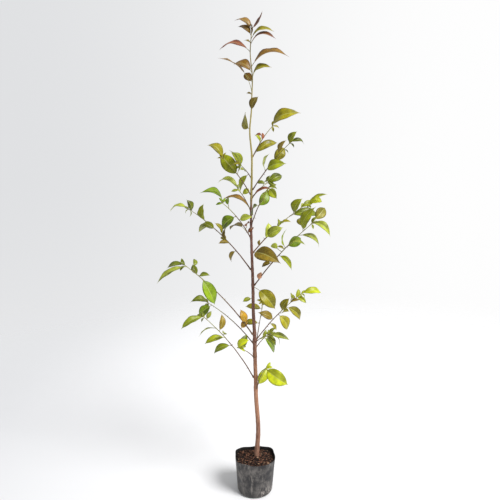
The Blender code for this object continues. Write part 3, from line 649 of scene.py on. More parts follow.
def show(name, mesh, material, slot, nodes):
    """A finished piece at the origin, riding on the one body, standing for these CAD nodes."""
    if material is not None:
        mesh.materials.clear()
        mesh.materials.append(material)
    mesh.name = name
    piece = placed(name, mesh)
    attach(piece, "root")
    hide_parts(*nodes)


def outward(mesh):
    """Merge doubles and turn the faces out."""
    shape = bmesh.new()
    shape.from_mesh(mesh)
    bmesh.ops.remove_doubles(shape, verts=shape.verts, dist=0.000002)
    bmesh.ops.recalc_face_normals(shape, faces=shape.faces)
    shape.to_mesh(mesh)
    shape.free()


def lines_mesh(name, lines):
    """Runs of points as bare edges, each point with its girth and its age (1 at the foot)."""
    points = []
    edges = []
    for run in lines:
        edges.extend((index, index + 1) for index in range(len(points), len(points) + len(run) - 1))
        points.extend(run)
    mesh = bpy.data.meshes.new(name)
    mesh.from_pydata([tuple(place) for place, _, _ in points], edges, [])
    write_mark(mesh, "girth", "POINT", [girth for _, girth, _ in points])
    write_mark(mesh, "age", "POINT", [age for _, _, age in points])
    return mesh


# Geometry Nodes trees

MEASURES = ("LENGTH", "DISTANCE", "DOT_PRODUCT")
HALF_TURN = 3.14


class Weave:
    """Lays nodes into a tree from left to right and links them by socket name."""

    def __init__(self, tree):
        self.tree = tree
        self.column = 0

    def add(self, kind, links=(), **settings):
        made = self.tree.nodes.new(kind)
        made.location = (self.column * 190, -120 * (self.column % 3))
        self.column += 1
        for key, value in settings.items():
            setattr(made, key, value)
        for socket, source in dict(links).items():
            self.join(made, socket, source)
        return made

    def join(self, made, socket, source):
        target = made.inputs[socket]
        if isinstance(source, bpy.types.NodeSocket):
            self.tree.links.new(source, target)
        elif isinstance(source, bpy.types.Node):
            self.tree.links.new(source.outputs[0], target)
        else:
            target.default_value = source

    def math(self, operation, a, b=0.5, clamp=False):
        made = self.add("ShaderNodeMath", {0: a, 1: b}, operation=operation, use_clamp=clamp)
        return made.outputs[0]

    def times(self, a, b, clamp=False):
        return self.math("MULTIPLY", a, b, clamp)

    def plus(self, a, b, clamp=False):
        return self.math("ADD", a, b, clamp)

    def place(self):
        return self.add("ShaderNodeTexCoord").outputs["Object"]

    def vector(self, operation, a, b=None, scale=None):
        made = self.add("ShaderNodeVectorMath", {0: a}, operation=operation)
        if b is not None:
            self.join(made, 1, b)
        if scale is not None:
            self.join(made, 3, scale)
        return made.outputs["Value"] if operation in MEASURES else made.outputs[0]

    def noise(self, vector, scale, detail=3.0, rough=0.55):
        made = self.add("ShaderNodeTexNoise", {
            "Vector": vector, "Scale": scale, "Detail": detail, "Roughness": rough})
        return made.outputs["Fac"]

    def span(self, value, low, high, to_low=0.0, to_high=1.0):
        made = self.add("ShaderNodeMapRange", {
            "Value": value, "From Min": low, "From Max": high, "To Min": to_low,
            "To Max": to_high}, interpolation_type="SMOOTHSTEP")
        return made.outputs[0]

    def mix(self, share, a, b):
        made = self.add("ShaderNodeMix", {0: share, 6: a, 7: b}, data_type="RGBA")
        return made.outputs[2]

    def stretch(self, vector, scale):
        made = self.add("ShaderNodeMapping", {"Vector": vector, "Scale": scale})
        return made.outputs[0]

    def mark(self, name):
        made = self.add("ShaderNodeAttribute", attribute_name=name, attribute_type="GEOMETRY")
        return made.outputs["Fac"]


SOCKETS = {
    "geometry": "NodeSocketGeometry", "float": "NodeSocketFloat", "int": "NodeSocketInt",
    "material": "NodeSocketMaterial", "collection": "NodeSocketCollection",
    "colour": "NodeSocketColor", "vector": "NodeSocketVector",
}


def new_tree(name, kind, inputs, outputs):
    """A node tree with named inputs, given as (name, kind, default), and named outputs."""
    tree = bpy.data.node_groups.new(name, kind)
    for label, sort, default in inputs:
        socket = tree.interface.new_socket(label, in_out="INPUT", socket_type=SOCKETS[sort])
        if default is not None:
            socket.default_value = default
    for label, sort in outputs:
        tree.interface.new_socket(label, in_out="OUTPUT", socket_type=SOCKETS[sort])
    weave = Weave(tree)
    return tree, weave, weave.add("NodeGroupInput").outputs


def close_tree(weave, results):
    leaving = weave.add("NodeGroupOutput")
    for label, source in results.items():
        weave.join(leaving, label, source)


def new_growth(name, inputs):
    """A Geometry Nodes tree that takes a guide, some settings and a material."""
    return new_tree(name, "GeometryNodeTree", (
        ("Geometry", "geometry", None), *inputs, ("Material", "material", None)),
        (("Geometry", "geometry"),))


def close_growth(weave, given, source):
    """Ends a growth as one real mesh in its material."""
    real = weave.add("GeometryNodeRealizeInstances", {0: source})
    close_tree(weave, {"Geometry": weave.add("GeometryNodeSetMaterial", {
        "Geometry": real, "Material": given["Material"]})})


def copies(weave, given, points, turn, size):
    """Copies of the given shapes on points, each one picked, turned and scaled."""
    shapes = weave.add("GeometryNodeCollectionInfo", {
        "Collection": given["Shapes"], "Separate Children": True, "Reset Children": True})
    return weave.add("GeometryNodeInstanceOnPoints", {
        "Points": points, "Instance": shapes, "Pick Instance": True, "Rotation": turn,
        "Scale": size})


def random_value(weave, given, low, high):
    made = weave.add("FunctionNodeRandomValue", {
        2: low, 3: high, "Seed": given["Seed"]}, data_type="FLOAT")
    return made.outputs[1]


def random_vector(weave, given, reach):
    """A vector drawn between minus and plus its reach."""
    low = tuple(-value for value in reach)
    made = weave.add("FunctionNodeRandomValue", {
        0: low, 1: reach, "Seed": given["Seed"]}, data_type="FLOAT_VECTOR")
    return made.outputs[0]


@functools.lru_cache(maxsize=None)
def limb_skin_tree():
    """Skins runs of points with round bark: the girth at each point, and a grained relief."""
    tree, weave, given = new_growth("limb_skin", (
        ("Sides", "int", 12), ("Relief", "float", 0.0), ("Grain Size", "float", 0.004),
        ("Grain Stretch", "float", 5.0)))
    curve = weave.add("GeometryNodeMeshToCurve", {0: given["Geometry"]})
    girth = weave.add("GeometryNodeInputNamedAttribute", {"Name": "girth"}, data_type="FLOAT")
    ring = weave.add("GeometryNodeCurvePrimitiveCircle", {
        "Resolution": given["Sides"], "Radius": 1.0}, mode="RADIUS")
    skin = weave.add("GeometryNodeCurveToMesh", {
        "Curve": curve, "Profile Curve": ring, "Scale": girth, "Fill Caps": True})
    up = weave.math("DIVIDE", 1.0, given["Grain Stretch"])
    spread = weave.add("ShaderNodeCombineXYZ", {0: 1.0, 1: 1.0, 2: up})
    grained = weave.vector("MULTIPLY", weave.add("GeometryNodeInputPosition"), spread)
    bumps = weave.noise(grained, weave.math("DIVIDE", 1.0, given["Grain Size"]), 3.0)
    rise = weave.times(weave.math("SUBTRACT", bumps, 0.5), given["Relief"])
    push = weave.vector("SCALE", weave.add("GeometryNodeInputNormal"), scale=rise)
    relief = weave.add("GeometryNodeSetPosition", {"Geometry": skin, "Offset": push})
    close_growth(weave, given, weave.add("GeometryNodeSetShadeSmooth", {
        "Geometry": relief, "Shade Smooth": True}))
    return tree


@functools.lru_cache(maxsize=None)
def litter_tree():
    """Strews turned and scaled copies of some shapes over a surface."""
    tree, weave, given = new_growth("soil_litter", (
        ("Shapes", "collection", None), ("Spacing", "float", 0.002),
        ("Density", "float", 60000.0), ("Seed", "int", 3), ("Smallest", "float", 0.6),
        ("Largest", "float", 1.3), ("Tumble", "float", 0.6)))
    points = weave.add("GeometryNodeDistributePointsOnFaces", {
        "Mesh": given["Geometry"], "Distance Min": given["Spacing"],
        "Density Max": given["Density"], "Seed": given["Seed"]}, distribute_method="POISSON")
    spin = random_vector(weave, given, (0.0, 0.0, HALF_TURN))
    tumble = random_vector(weave, given, (1.0, 1.0, 0.0))
    turn = weave.vector("ADD", spin, weave.vector("SCALE", tumble, scale=given["Tumble"]))
    turned = weave.add("FunctionNodeEulerToRotation", {0: turn})
    both = weave.add("FunctionNodeRotateRotation", {
        0: points.outputs["Rotation"], 1: turned}, rotation_space="LOCAL")
    size = random_value(weave, given, given["Smallest"], given["Largest"])
    close_growth(weave, given, copies(weave, given, points, both, size))
    return tree


@functools.lru_cache(maxsize=None)
def bud_tree():
    """Sets a bud on each point, aimed along the point's own line and grown to its size."""
    tree, weave, given = new_growth("bud_setting", (
        ("Shapes", "collection", None), ("Seed", "int", 5)))
    points = weave.add("GeometryNodeMeshToPoints", {0: given["Geometry"]})
    aim = weave.add("GeometryNodeInputNamedAttribute", {"Name": "aim"}, data_type="FLOAT_VECTOR")
    size = weave.add("GeometryNodeInputNamedAttribute", {"Name": "size"}, data_type="FLOAT")
    aimed = weave.add("FunctionNodeAlignRotationToVector", {"Vector": aim}, axis="Z")
    about = weave.add("ShaderNodeCombineXYZ", {
        2: random_value(weave, given, -HALF_TURN, HALF_TURN)})
    rolled = weave.add("FunctionNodeEulerToRotation", {0: about})
    both = weave.add("FunctionNodeRotateRotation", {0: aimed, 1: rolled}, rotation_space="LOCAL")
    close_growth(weave, given, copies(weave, given, points, both, size))
    return tree


def grow(name, guide, tree, values):
    """Runs a Geometry Nodes tree over a guide mesh and keeps the plain mesh it makes."""
    holder = placed(name + "_guide", guide)
    growth = holder.modifiers.new("growth", "NODES")
    growth.node_group = tree
    for item in tree.interface.items_tree:
        if item.item_type == "SOCKET" and item.in_out == "INPUT" and item.name in values:
            growth[item.identifier] = values[item.name]
    holder.update_tag()
    mesh = evaluated_mesh(holder)
    holder.modifiers.remove(growth)
    bpy.data.objects.remove(holder, do_unlink=True)
    if not mesh.polygons:
        raise RuntimeError(name + " grew no faces")
    return mesh


def shape_kit(name, meshes):
    """A collection of small shapes for a tree to pick from, out of the render."""
    kit = bpy.data.collections.new(name)
    bpy.context.scene.collection.children.link(kit)
    for number, mesh in enumerate(meshes):
        kit.objects.link(bpy.data.objects.new("%s_%02d" % (name, number), mesh))
    return kit


def clear_kit(kit):
    for item in list(kit.objects):
        bpy.data.objects.remove(item, do_unlink=True)
    bpy.data.collections.remove(kit)


# Finishes

def tone(red, green, blue):
    """A screen colour of 0 to 255 a channel as the linear colour that Blender mixes in."""
    shares = (value / 255.0 for value in (red, green, blue))
    return tuple(s / 12.92 if s <= 0.04045 else ((s + 0.055) / 1.055) ** 2.4 for s in shares)


def full(colour):
    return (*colour[:3], 1.0)


Tint = namedtuple("Tint", "name label hint slot upper under tip burn")

# Key, name, label, hint, slot, then the upper side, the underside, the tip and how far it burns
LEAF_TINTS = {
    key: Tint(*words, tone(*upper), tone(*under), tone(*tip), burn)
    for key, *words, upper, under, tip, burn in (
        ("g", "green", "Green", "Full leaves", "leaf_green",
         (142, 150, 12), (156, 162, 54), (112, 86, 18), 0.30),
        ("d", "deep", "Deep green", "Shaded leaves", "leaf_green",
         (116, 128, 12), (138, 146, 48), (74, 60, 16), 0.30),
        ("b", "bright", "Bright green", "Fresh leaves", "leaf_green",
         (118, 144, 8), (142, 158, 48), (120, 120, 24), 0.10),
        ("p", "pale", "Pale green", "Thin young leaves", "leaf_green",
         (170, 180, 60), (176, 184, 84), (136, 116, 40), 0.15),
        ("u", "turned", "Turned", "Leaves that show their underside", "leaf_green",
         (146, 152, 82), (146, 152, 82), (122, 110, 58), 0.20),
        ("l", "lime", "Lime", "Sunlit lower leaves", "leaf_lime",
         (176, 184, 14), (184, 190, 58), (172, 140, 20), 0.12),
        ("o", "olive", "Olive", "Winter leaves", "leaf_olive",
         (150, 142, 16), (160, 150, 46), (128, 84, 22), 0.45),
        ("k", "brown_olive", "Brown olive", "Old winter leaves", "leaf_olive",
         (136, 114, 28), (144, 124, 48), (96, 60, 24), 0.55),
        ("z", "bronze", "Bronze", "Leaves near the top", "leaf_bronze",
         (146, 108, 36), (150, 112, 52), (124, 48, 32), 0.70),
        ("r", "red", "Red bronze", "Youngest leaves at the top", "leaf_bronze",
         (140, 72, 42), (144, 80, 52), (98, 34, 28), 0.60),
        ("y", "gold", "Gold", "Leaves about to fall", "leaf_gold",
         (194, 148, 32), (200, 158, 58), (196, 104, 30), 0.60),
        ("s", "salmon", "Salmon", "Withered leaf", "leaf_gold",
         (222, 160, 122), (224, 170, 134), (190, 112, 72), 0.30),
    )
}


def fresh_material(name, **constants):
    """A material with its Principled surface, and a weave to lay the pattern's nodes with."""
    material = bpy.data.materials.new(name)
    material.use_nodes = True
    surface = material.node_tree.nodes["Principled BSDF"]
    for socket, value in constants.items():
        surface.inputs[socket.replace("_", " ")].default_value = value
    weave = Weave(material.node_tree)
    surface.location = (1900, 0)
    material.node_tree.nodes["Material Output"].location = (2250, 0)
    return material, weave, surface


def paint(weave, surface, colour, rough, height, strength, distance):
    """Joins a finish to its surface: colour, roughness, and bumps of some depth."""
    bump = weave.add("ShaderNodeBump", {
        "Height": height, "Strength": strength, "Distance": distance})
    for socket, source in (("Base Color", colour), ("Roughness", rough), ("Normal", bump)):
        weave.join(surface, socket, source)


@functools.lru_cache(maxsize=None)
def mottle_group():
    """Two tones in soft patches with fine grain: colour, and a height for the grain."""
    tree, weave, given = new_tree("mottle", "ShaderNodeTree", (
        ("Vector", "vector", None), ("Light", "colour", None), ("Dark", "colour", None),
        ("Patch Scale", "float", 60.0), ("Grain Scale", "float", 900.0),
        ("Balance", "float", 0.5)), (("Color", "colour"), ("Mask", "float"), ("Height", "float")))
    patches = weave.noise(given["Vector"], given["Patch Scale"], 4.0, 0.6)
    grain = weave.noise(given["Vector"], given["Grain Scale"], 3.0, 0.6)
    both = weave.plus(weave.times(patches, 0.72), weave.times(grain, 0.28))
    shifted = weave.plus(both, weave.math("SUBTRACT", given["Balance"], 0.5))
    mask = weave.span(shifted, 0.36, 0.64)
    colour = weave.mix(mask, given["Dark"], given["Light"])
    close_tree(weave, {"Color": colour, "Mask": mask, "Height": both})
    return tree


def mottled(weave, vector, light, dark, patch, grain, balance=0.5):
    """The outputs of the mottle laid along a vector in two tones."""
    return weave.add("ShaderNodeGroup", {
        "Vector": vector, "Light": full(light), "Dark": full(dark), "Patch Scale": patch,
        "Grain Scale": grain, "Balance": balance}, node_tree=mottle_group()).outputs


@functools.lru_cache(maxsize=None)
def leaf_group():
    """A leaf's colours: pale rib and veins, duller underside, scorched tip and margin, and one half
    of the blade darker and the other lighter as painted shade and light.
    """
    tree, weave, given = new_tree("leaf_finish", "ShaderNodeTree", (
        ("Upper", "colour", None), ("Under", "colour", None), ("Rib", "colour", None),
        ("Tip", "colour", None), ("Burn", "float", 0.2), ("Veins", "float", 0.3)),
        (("Color", "colour"), ("Roughness", "float"), ("Height", "float")))
    side = weave.mark("across")
    across = weave.math("ABSOLUTE", side)
    along = weave.mark("along")
    under = weave.mark("under")
    place = weave.place()
    blotch = weave.noise(place, 70.0, 3.0)
    speck = weave.noise(place, 520.0, 2.0)
    body = weave.mix(under, given["Upper"], given["Under"])
    light = weave.plus(weave.times(weave.mark("fate"), 0.60), 0.68)
    # Painted shade and light: the blade is darker on one side of the midrib and lighter on the
    # other.
    painted_half_shade = weave.plus(light, weave.span(side, -0.12, 0.12, -0.15, 0.15))
    patchy = weave.plus(painted_half_shade, weave.span(blotch, 0.35, 0.68, -0.27, 0.25))
    hue = weave.add("ShaderNodeHueSaturation", {"Value": patchy, "Color": body})
    slant = weave.math("SUBTRACT", weave.times(along, 9.0), weave.times(across, 1.7))
    line = weave.span(weave.math("PINGPONG", slant, 0.5), 0.0, 0.09, 1.0, 0.0)
    vein = weave.times(line, weave.span(across, 0.55, 0.95, 1.0, 0.0))
    veined = weave.mix(weave.times(vein, given["Veins"]), hue, given["Rib"])
    rib = weave.span(across, 0.025, 0.085, 1.0, 0.0)
    ribbed = weave.mix(weave.times(rib, 0.75), veined, given["Rib"])
    tip = weave.span(weave.plus(along, weave.span(blotch, 0.3, 0.7, -0.10, 0.10)), 0.80, 1.02)
    edge = weave.plus(across, weave.span(blotch, 0.3, 0.7, -0.2, 0.2))
    burnt = weave.math("MAXIMUM", tip, weave.span(edge, 0.86, 1.1))
    colour = weave.mix(weave.times(burnt, given["Burn"], clamp=True), ribbed, given["Tip"])
    rough = weave.plus(weave.times(under, 0.20), weave.span(speck, 0.3, 0.7, 0.30, 0.42))
    height = weave.plus(weave.times(vein, -0.6), weave.times(speck, 0.25))
    close_tree(weave, {"Color": colour, "Roughness": rough, "Height": height})
    return tree


def leaf_material(tint, colour):
    material, weave, surface = fresh_material("leaf_" + tint.name, Specular_IOR_Level=0.42)
    rib = tuple(0.45 * value + 0.55 * other for value, other in zip(colour, tone(206, 210, 130)))
    finish = weave.add("ShaderNodeGroup", {
        "Upper": full(colour), "Under": full(tint.under), "Rib": full(rib),
        "Tip": full(tint.tip), "Burn": tint.burn, "Veins": 0.22}, node_tree=leaf_group()).outputs
    paint(weave, surface, finish["Color"], finish["Roughness"], finish["Height"], 0.35, 0.0004)
    return material


def ramp(weave, share, stops):
    made = weave.add("ShaderNodeValToRGB", {"Fac": share})
    elements = made.color_ramp.elements
    elements[0].position, elements[0].color = stops[0][0], full(stops[0][1])
    elements[1].position, elements[1].color = stops[-1][0], full(stops[-1][1])
    for position, colour in stops[1:-1]:
        elements.new(position).color = full(colour)
    return made.outputs["Color"]


def bark_material(low, middle, high):
    """Trunk bark: tan low down, red-brown in the middle, olive in the leader."""
    material, weave, surface = fresh_material("bark", Specular_IOR_Level=0.3)
    place = weave.place()
    height = weave.add("ShaderNodeSeparateXYZ", {0: place}).outputs["Z"]
    wander = weave.noise(place, 9.0, 2.0)
    level = weave.plus(height, weave.span(wander, 0.3, 0.7, -0.06, 0.06))
    base = ramp(weave, weave.span(level, 0.06, 1.13), (
        (0.0, tone(122, 78, 62)), (0.05, low), (0.14, low), (0.30, middle), (0.62, middle),
        (0.73, high), (1.0, high)))
    streak = mottled(weave, weave.stretch(place, (1.0, 1.0, 0.16)), tone(216, 186, 160),
                     tone(66, 38, 32), 420.0, 1800.0)
    streaked = weave.mix(0.24, base, streak["Color"])
    spots = weave.add("ShaderNodeTexVoronoi", {
        "Vector": weave.stretch(place, (1.0, 1.0, 0.55)), "Scale": 260.0, "Randomness": 1.0})
    pores = weave.span(spots.outputs["Distance"], 0.10, 0.20, 1.0, 0.0)
    porous = weave.mix(weave.times(pores, 0.30), streaked, full(tone(206, 182, 150)))
    rough = weave.span(streak["Height"], 0.3, 0.7, 0.62, 0.82)
    paint(weave, surface, porous, rough, weave.plus(streak["Height"], weave.times(pores, 0.5)),
          0.5, 0.0006)
    return material


def shoot_material(name, old, young):
    """Shoot bark: brown where it leaves the trunk, green at its tip, by the age mark."""
    material, weave, surface = fresh_material(name, Specular_IOR_Level=0.35)
    place = weave.place()
    wander = weave.noise(place, 60.0, 2.0)
    ripe = weave.plus(weave.mark("age"), weave.span(wander, 0.3, 0.7, -0.15, 0.15), clamp=True)
    base = weave.mix(weave.span(ripe, 0.08, 0.55), full(young), full(old))
    grain = mottled(weave, weave.stretch(place, (1.0, 1.0, 0.4)), tone(190, 176, 128),
                    tone(70, 54, 36), 500.0, 2400.0)
    paint(weave, surface, weave.mix(0.18, base, grain["Color"]),
          weave.span(grain["Height"], 0.3, 0.7, 0.5, 0.72), grain["Height"], 0.4, 0.0003)
    return material


def mottled_material(name, light, dark, patch, grain, balance, rough, depth):
    """A dull mottled finish, for soil, chips and straw."""
    material, weave, surface = fresh_material(name, Specular_IOR_Level=0.25)
    finish = mottled(weave, weave.place(), light, dark, patch, grain, balance)
    dull = weave.span(finish["Height"], 0.3, 0.7, rough - 0.1, rough)
    paint(weave, surface, finish["Color"], dull, finish["Height"], 0.6, depth)
    return material


def pot_material(black, dust):
    """Soft black plastic under a film of dust, with wiped streaks, darker towards the bottom,
    painted shade on the inner wall and a painted highlight low on the right.
    """
    material, weave, surface = fresh_material("pot_film", Specular_IOR_Level=0.45)
    place = weave.place()
    split = weave.add("ShaderNodeSeparateXYZ", {0: place}).outputs
    film = mottled(weave, place, dust, black, 55.0, 700.0, 0.44)
    wiped = weave.noise(weave.stretch(place, (1.0, 1.0, 0.28)), 95.0, 5.0, 0.7)
    streaks = weave.times(weave.span(wiped, 0.50, 0.66), 0.50)
    streaked = weave.mix(streaks, film["Color"], full(tone(140, 134, 128)))
    # Darker towards the bottom of the wall.
    darker_low = weave.span(split["Z"], 0.004, 0.020, 0.45, 0.0)
    lower = weave.mix(darker_low, streaked, full(tone(52, 48, 44)))
    # Painted shade: the inner wall above the soil is darkened almost to black.
    inner = weave.times(weave.span(split["Z"], 0.070, 0.076), weave.mark("inner"))
    inside = weave.mix(weave.times(inner, 0.85), lower, full(tone(24, 22, 21)))
    # Painted highlight: pale patches low on the right of the wall, where the soft plastic catches
    # the light.
    corner = weave.times(weave.span(split["X"], 0.004, 0.020),
                         weave.span(split["Z"], 0.020, 0.036, 1.0, 0.0))
    highlight_patches = weave.span(weave.noise(weave.stretch(place, (1.0, 1.0, 0.25)), 260.0, 3.0), 0.50, 0.62)
    low_right_highlight = weave.times(weave.times(corner, highlight_patches), 0.75)
    paint(weave, surface, weave.mix(low_right_highlight, inside, full(tone(168, 160, 154))),
          weave.span(film["Mask"], 0.0, 1.0, 0.48, 0.68),
          weave.plus(film["Height"], weave.times(wiped, 0.6)), 0.35, 0.0008)
    return material


# Leaves

LEAF_ROWS = 15
LEAF_COLUMNS = np.array((-1.0, -0.72, -0.40, -0.12, 0.0, 0.12, 0.40, 0.72, 1.0))
ROUND_FOLD = 0.10
TIP_HALF_WIDTH = 0.00018
BASE_HALF_WIDTH = 0.0007
MARGIN_SHARE = 0.35
MIDRIB_GROOVE = 0.00022
MIDRIB_RIDGE = 0.00040
MIDRIB_SPAN = 0.10

Nature = namedtuple("Nature", "ripple waves phase curl twist droop skew fate")


def leaf_nature(spray, number, ripple, curl):
    """A leaf's own small ways, drawn from its spray and its place in it."""
    draw = random.Random("%s leaf %d" % (spray, number))
    return Nature(
        ripple=ripple * draw.uniform(0.4, 1.6), waves=draw.uniform(1.2, 2.6),
        phase=draw.uniform(0.0, 2.0 * math.pi), curl=curl * draw.uniform(0.2, 1.8),
        twist=math.radians(draw.uniform(-14.0, 14.0)), droop=draw.uniform(-0.03, 0.05),
        skew=draw.uniform(-0.04, 0.04), fate=draw.random())


# How much broader than in the solids a blade is drawn, up to a share of its length
LEADER_BREADTH = 2.0
COMMON_BREADTH = 1.15
MOST_BREADTH = 0.54

# Young leaves at the tips: where they stand, how far they turn off the last leaf, size and shape
YOUNG_FOOT = 0.985
YOUNG_TURN = (28, 46)
YOUNG_SIDE_TURN = (70, 100)
YOUNG_SIZE = (0.013, 0.020)
YOUNG_FACE = (40, 70)
YOUNG_BROAD = 0.34
YOUNG_SWING = (-30.0, 30.0)
YOUNG_FOLD = 24.0
YOUNG_NUMBER = 60

# Withered bits on two shoots, which the solids leave out: shoot, tint, leaf
WITHERED_FOLD = 15.0
WITHERED_NUMBER = 70
WITHERED = (
    ("right_wide", "s", Leaf(0.08, 70, 0.020, 75, 0.62)),
    ("right_mid", "k", Leaf(0.11, 80, 0.015, 60, 0.45)),
)


def drawn_half_width(leaf):
    """The half width that a blade is drawn with: narrow blades open more than broad ones."""
    solid = leaf.blade.half_width
    wider = solid * (LEADER_BREADTH if leaf.spray == "leader" else COMMON_BREADTH)
    return max(solid, min(wider, leaf.blade.length * MOST_BREADTH / 2.0))


def leaf_outline(blade, shares):
    """Half width at shares of the blade beyond its stalk: an oval run out into a drip tip."""
    along, across = OVAL_FULLNESS
    inside = np.clip(shares / OVAL_END, 0.0, 1.0)
    oval = np.sin(math.pi * inside ** along) ** across
    taper = np.minimum(DRIP_WIDTH * (1.0 - shares) / DRIP_LENGTH, DRIP_WIDTH)
    drip = np.where(shares > 0.5, taper, 0.0)
    share = (np.abs(oval) ** 5 + drip ** 5) ** 0.2
    least = BASE_HALF_WIDTH + (TIP_HALF_WIDTH - BASE_HALF_WIDTH) * np.clip(shares * 3.0, 0.0, 1.0)
    return np.maximum(blade.half_width * share, least)


def leaf_skin(blade, nature, thickness):
    """One blade as a closed skin: its points, faces, and marks for its finish."""
    steps = np.linspace(0.0, 1.0, LEAF_ROWS)
    steps = 0.45 * steps + 0.55 * (0.5 - 0.5 * np.cos(math.pi * steps))
    shares = blade.stalk + (1.0 - blade.stalk) * steps
    half = leaf_outline(blade, steps)[:, None]
    side = LEAF_COLUMNS[None, :]
    slope = 4.0 * blade.arch * (1.0 - 2.0 * shares)
    along = np.array(blade.along)
    up = np.array(blade.up)
    normal = up[None, :] - along[None, :] * slope[:, None]
    normal /= np.linalg.norm(normal, axis=1)[:, None]
    across = np.repeat(np.array(blade.across)[None, :], LEAF_ROWS, axis=0)
    turn = (nature.twist * (steps - 0.4))[:, None]
    across, normal = (across * np.cos(turn) + normal * np.sin(turn),
                      normal * np.cos(turn) - across * np.sin(turn))
    bow = 4.0 * blade.arch * shares * (1.0 - shares) - nature.droop * steps ** 3
    bend = nature.skew * np.sin(math.pi * steps) * blade.half_width * 2.0
    middle = (np.array(blade.foot)[None, :] + blade.length * (
        along[None, :] * shares[:, None] + up[None, :] * bow[:, None])
        + across * bend[:, None])
    beyond = np.abs(side)
    fold = blade.fold * half * (np.sqrt(side ** 2 + ROUND_FOLD ** 2) - ROUND_FOLD)
    swell = np.sin(math.pi * steps)[:, None]
    wave = np.sin(2.0 * math.pi * nature.waves * steps[:, None] + nature.phase
                  + np.where(side > 0.0, 1.9, 0.0))
    ripple = nature.ripple * blade.half_width * wave * beyond ** 2 * swell
    curl = -nature.curl * half * beyond ** 3
    rise = fold + ripple + curl
    points = middle[:, None, :] + across[:, None, :] * (side * half)[:, :, None]
    points = points + normal[:, None, :] * rise[:, :, None]
    body = thickness * (1.0 - (1.0 - MARGIN_SHARE) * beyond ** 2) * (0.55 + 0.45 * swell)
    ridge = np.exp(-((side / MIDRIB_SPAN) ** 2)) * np.minimum(half / 0.003, 1.0)
    top = points + normal[:, None, :] * (body / 2.0 - MIDRIB_GROOVE * ridge)[:, :, None]
    low = points - normal[:, None, :] * (body / 2.0 + MIDRIB_RIDGE * ridge)[:, :, None]
    top[:, 0], top[:, -1] = points[:, 0], points[:, -1]
    ring = np.concatenate((top, low[:, -2:0:-1]), axis=1)
    count = ring.shape[1]
    upper = len(LEAF_COLUMNS) - 1
    under = ([0.0] * upper + [1.0] * (count - upper)) * (LEAF_ROWS - 1) + [1.0, 1.0]
    sides = np.concatenate((LEAF_COLUMNS, LEAF_COLUMNS[-2:0:-1]))
    marks = {
        "across": np.tile(sides, LEAF_ROWS), "along": np.repeat(steps, count),
        "fate": np.full(LEAF_ROWS * count, nature.fate), "under": under}
    return ring.reshape(-1, 3), closed_faces(LEAF_ROWS, count), marks


def faces_in(points, faces):
    """Whether a closed skin's faces point inwards, by the sign of its volume."""
    volume = 0.0
    for face in faces:
        first = points[face[0]]
        for second, third in zip(face[1:], face[2:]):
            volume += float(np.dot(first, np.cross(points[second], points[third])))
    return volume < 0.0


def young_leaves(grown):
    """Smaller young leaves of the last leaf's kind, tucked in at the tip of each spray."""
    tips = {}
    for leaf in grown.leaves:
        limb = grown.limbs.get(leaf.spray)
        if limb is None:
            continue
        near = (leaf.blade.foot - limb.tip).length
        if leaf.spray not in tips or near < tips[leaf.spray][0]:
            tips[leaf.spray] = (near, leaf)
    for spray, (_, last) in sorted(tips.items()):
        draw = random.Random(spray + " young")
        limb = grown.limbs[spray]
        heading = math.degrees(math.atan2(last.blade.along.z, last.blade.along.x))
        turns = (draw.uniform(*YOUNG_TURN), -draw.uniform(*YOUNG_TURN),
                 draw.choice((-1, 1)) * draw.uniform(*YOUNG_SIDE_TURN))
        for number, turn in enumerate(turns):
            size = draw.uniform(*YOUNG_SIZE)
            leaf = Leaf(1.0, heading + turn, size, draw.uniform(*YOUNG_FACE), YOUNG_BROAD)
            blade = Blade(leaf, limb.at(YOUNG_FOOT), draw.uniform(*YOUNG_SWING), YOUNG_FOLD)
            yield Grown(blade, last.tint, last.node, spray, YOUNG_NUMBER + number)
    for number, (spray, tint, leaf) in enumerate(WITHERED):
        blade = Blade(leaf, grown.limbs[spray].at(leaf.share), 0.0, WITHERED_FOLD)
        yield Grown(blade, tint, "foliage_" + spray, spray, WITHERED_NUMBER + number)


def gather_leaves(thickness, ripple, curl):
    """All blades as skins, gathered by tint, with the CAD nodes that each tint stands for."""
    grown = plan()
    gathered = {key: ([], [], {}, set()) for key in LEAF_TINTS}
    for leaf in list(grown.leaves) + list(young_leaves(grown)):
        points, faces, marks, nodes = gathered[leaf.tint]
        nature = leaf_nature(leaf.spray, leaf.number, ripple, curl)
        leaf.blade.half_width = drawn_half_width(leaf)
        skin, sides, written = leaf_skin(leaf.blade, nature, thickness)
        if faces_in(skin - skin.mean(axis=0), sides):
            sides = [tuple(reversed(face)) for face in sides]
        start = sum(len(part) for part in points)
        points.append(skin)
        faces.extend(tuple(start + index for index in face) for face in sides)
        for mark, values in written.items():
            marks.setdefault(mark, []).extend(values)
        nodes.add(leaf.node)
    return gathered


# Stems

RING_STEP = 0.0026
ROOT_COUNT = 5
ROOT_REACH = 0.017
ROOT_STEPS = 9
ROOT_START = 0.002
ROOT_RISE = 0.0115
ROOT_DROP = 0.014
ROOT_GIRTH = 0.0026
BURIED = 0.010
SCAR_START = 0.035
SCAR_SPACING = 0.027
SCAR_SWELL = 0.10
SCAR_LENGTH = 0.0022
JOINT_SWELL = 0.14
JOINT_LENGTH = 0.0045
TIP_LENGTH = 0.004
SPUR_SPACING = 0.07
SPUR_SIZE = (0.0022, 0.0046)
SPUR_GIRTH = 0.00062
TWIG_GIRTH = 0.00075
SHOOT_RINGS = 0.0022
WIGGLE = 0.00035
STALK_RINGS = 9
STALK_BASE = 0.00075
STALK_END = 0.00042
STALK_RUN_ON = 0.12


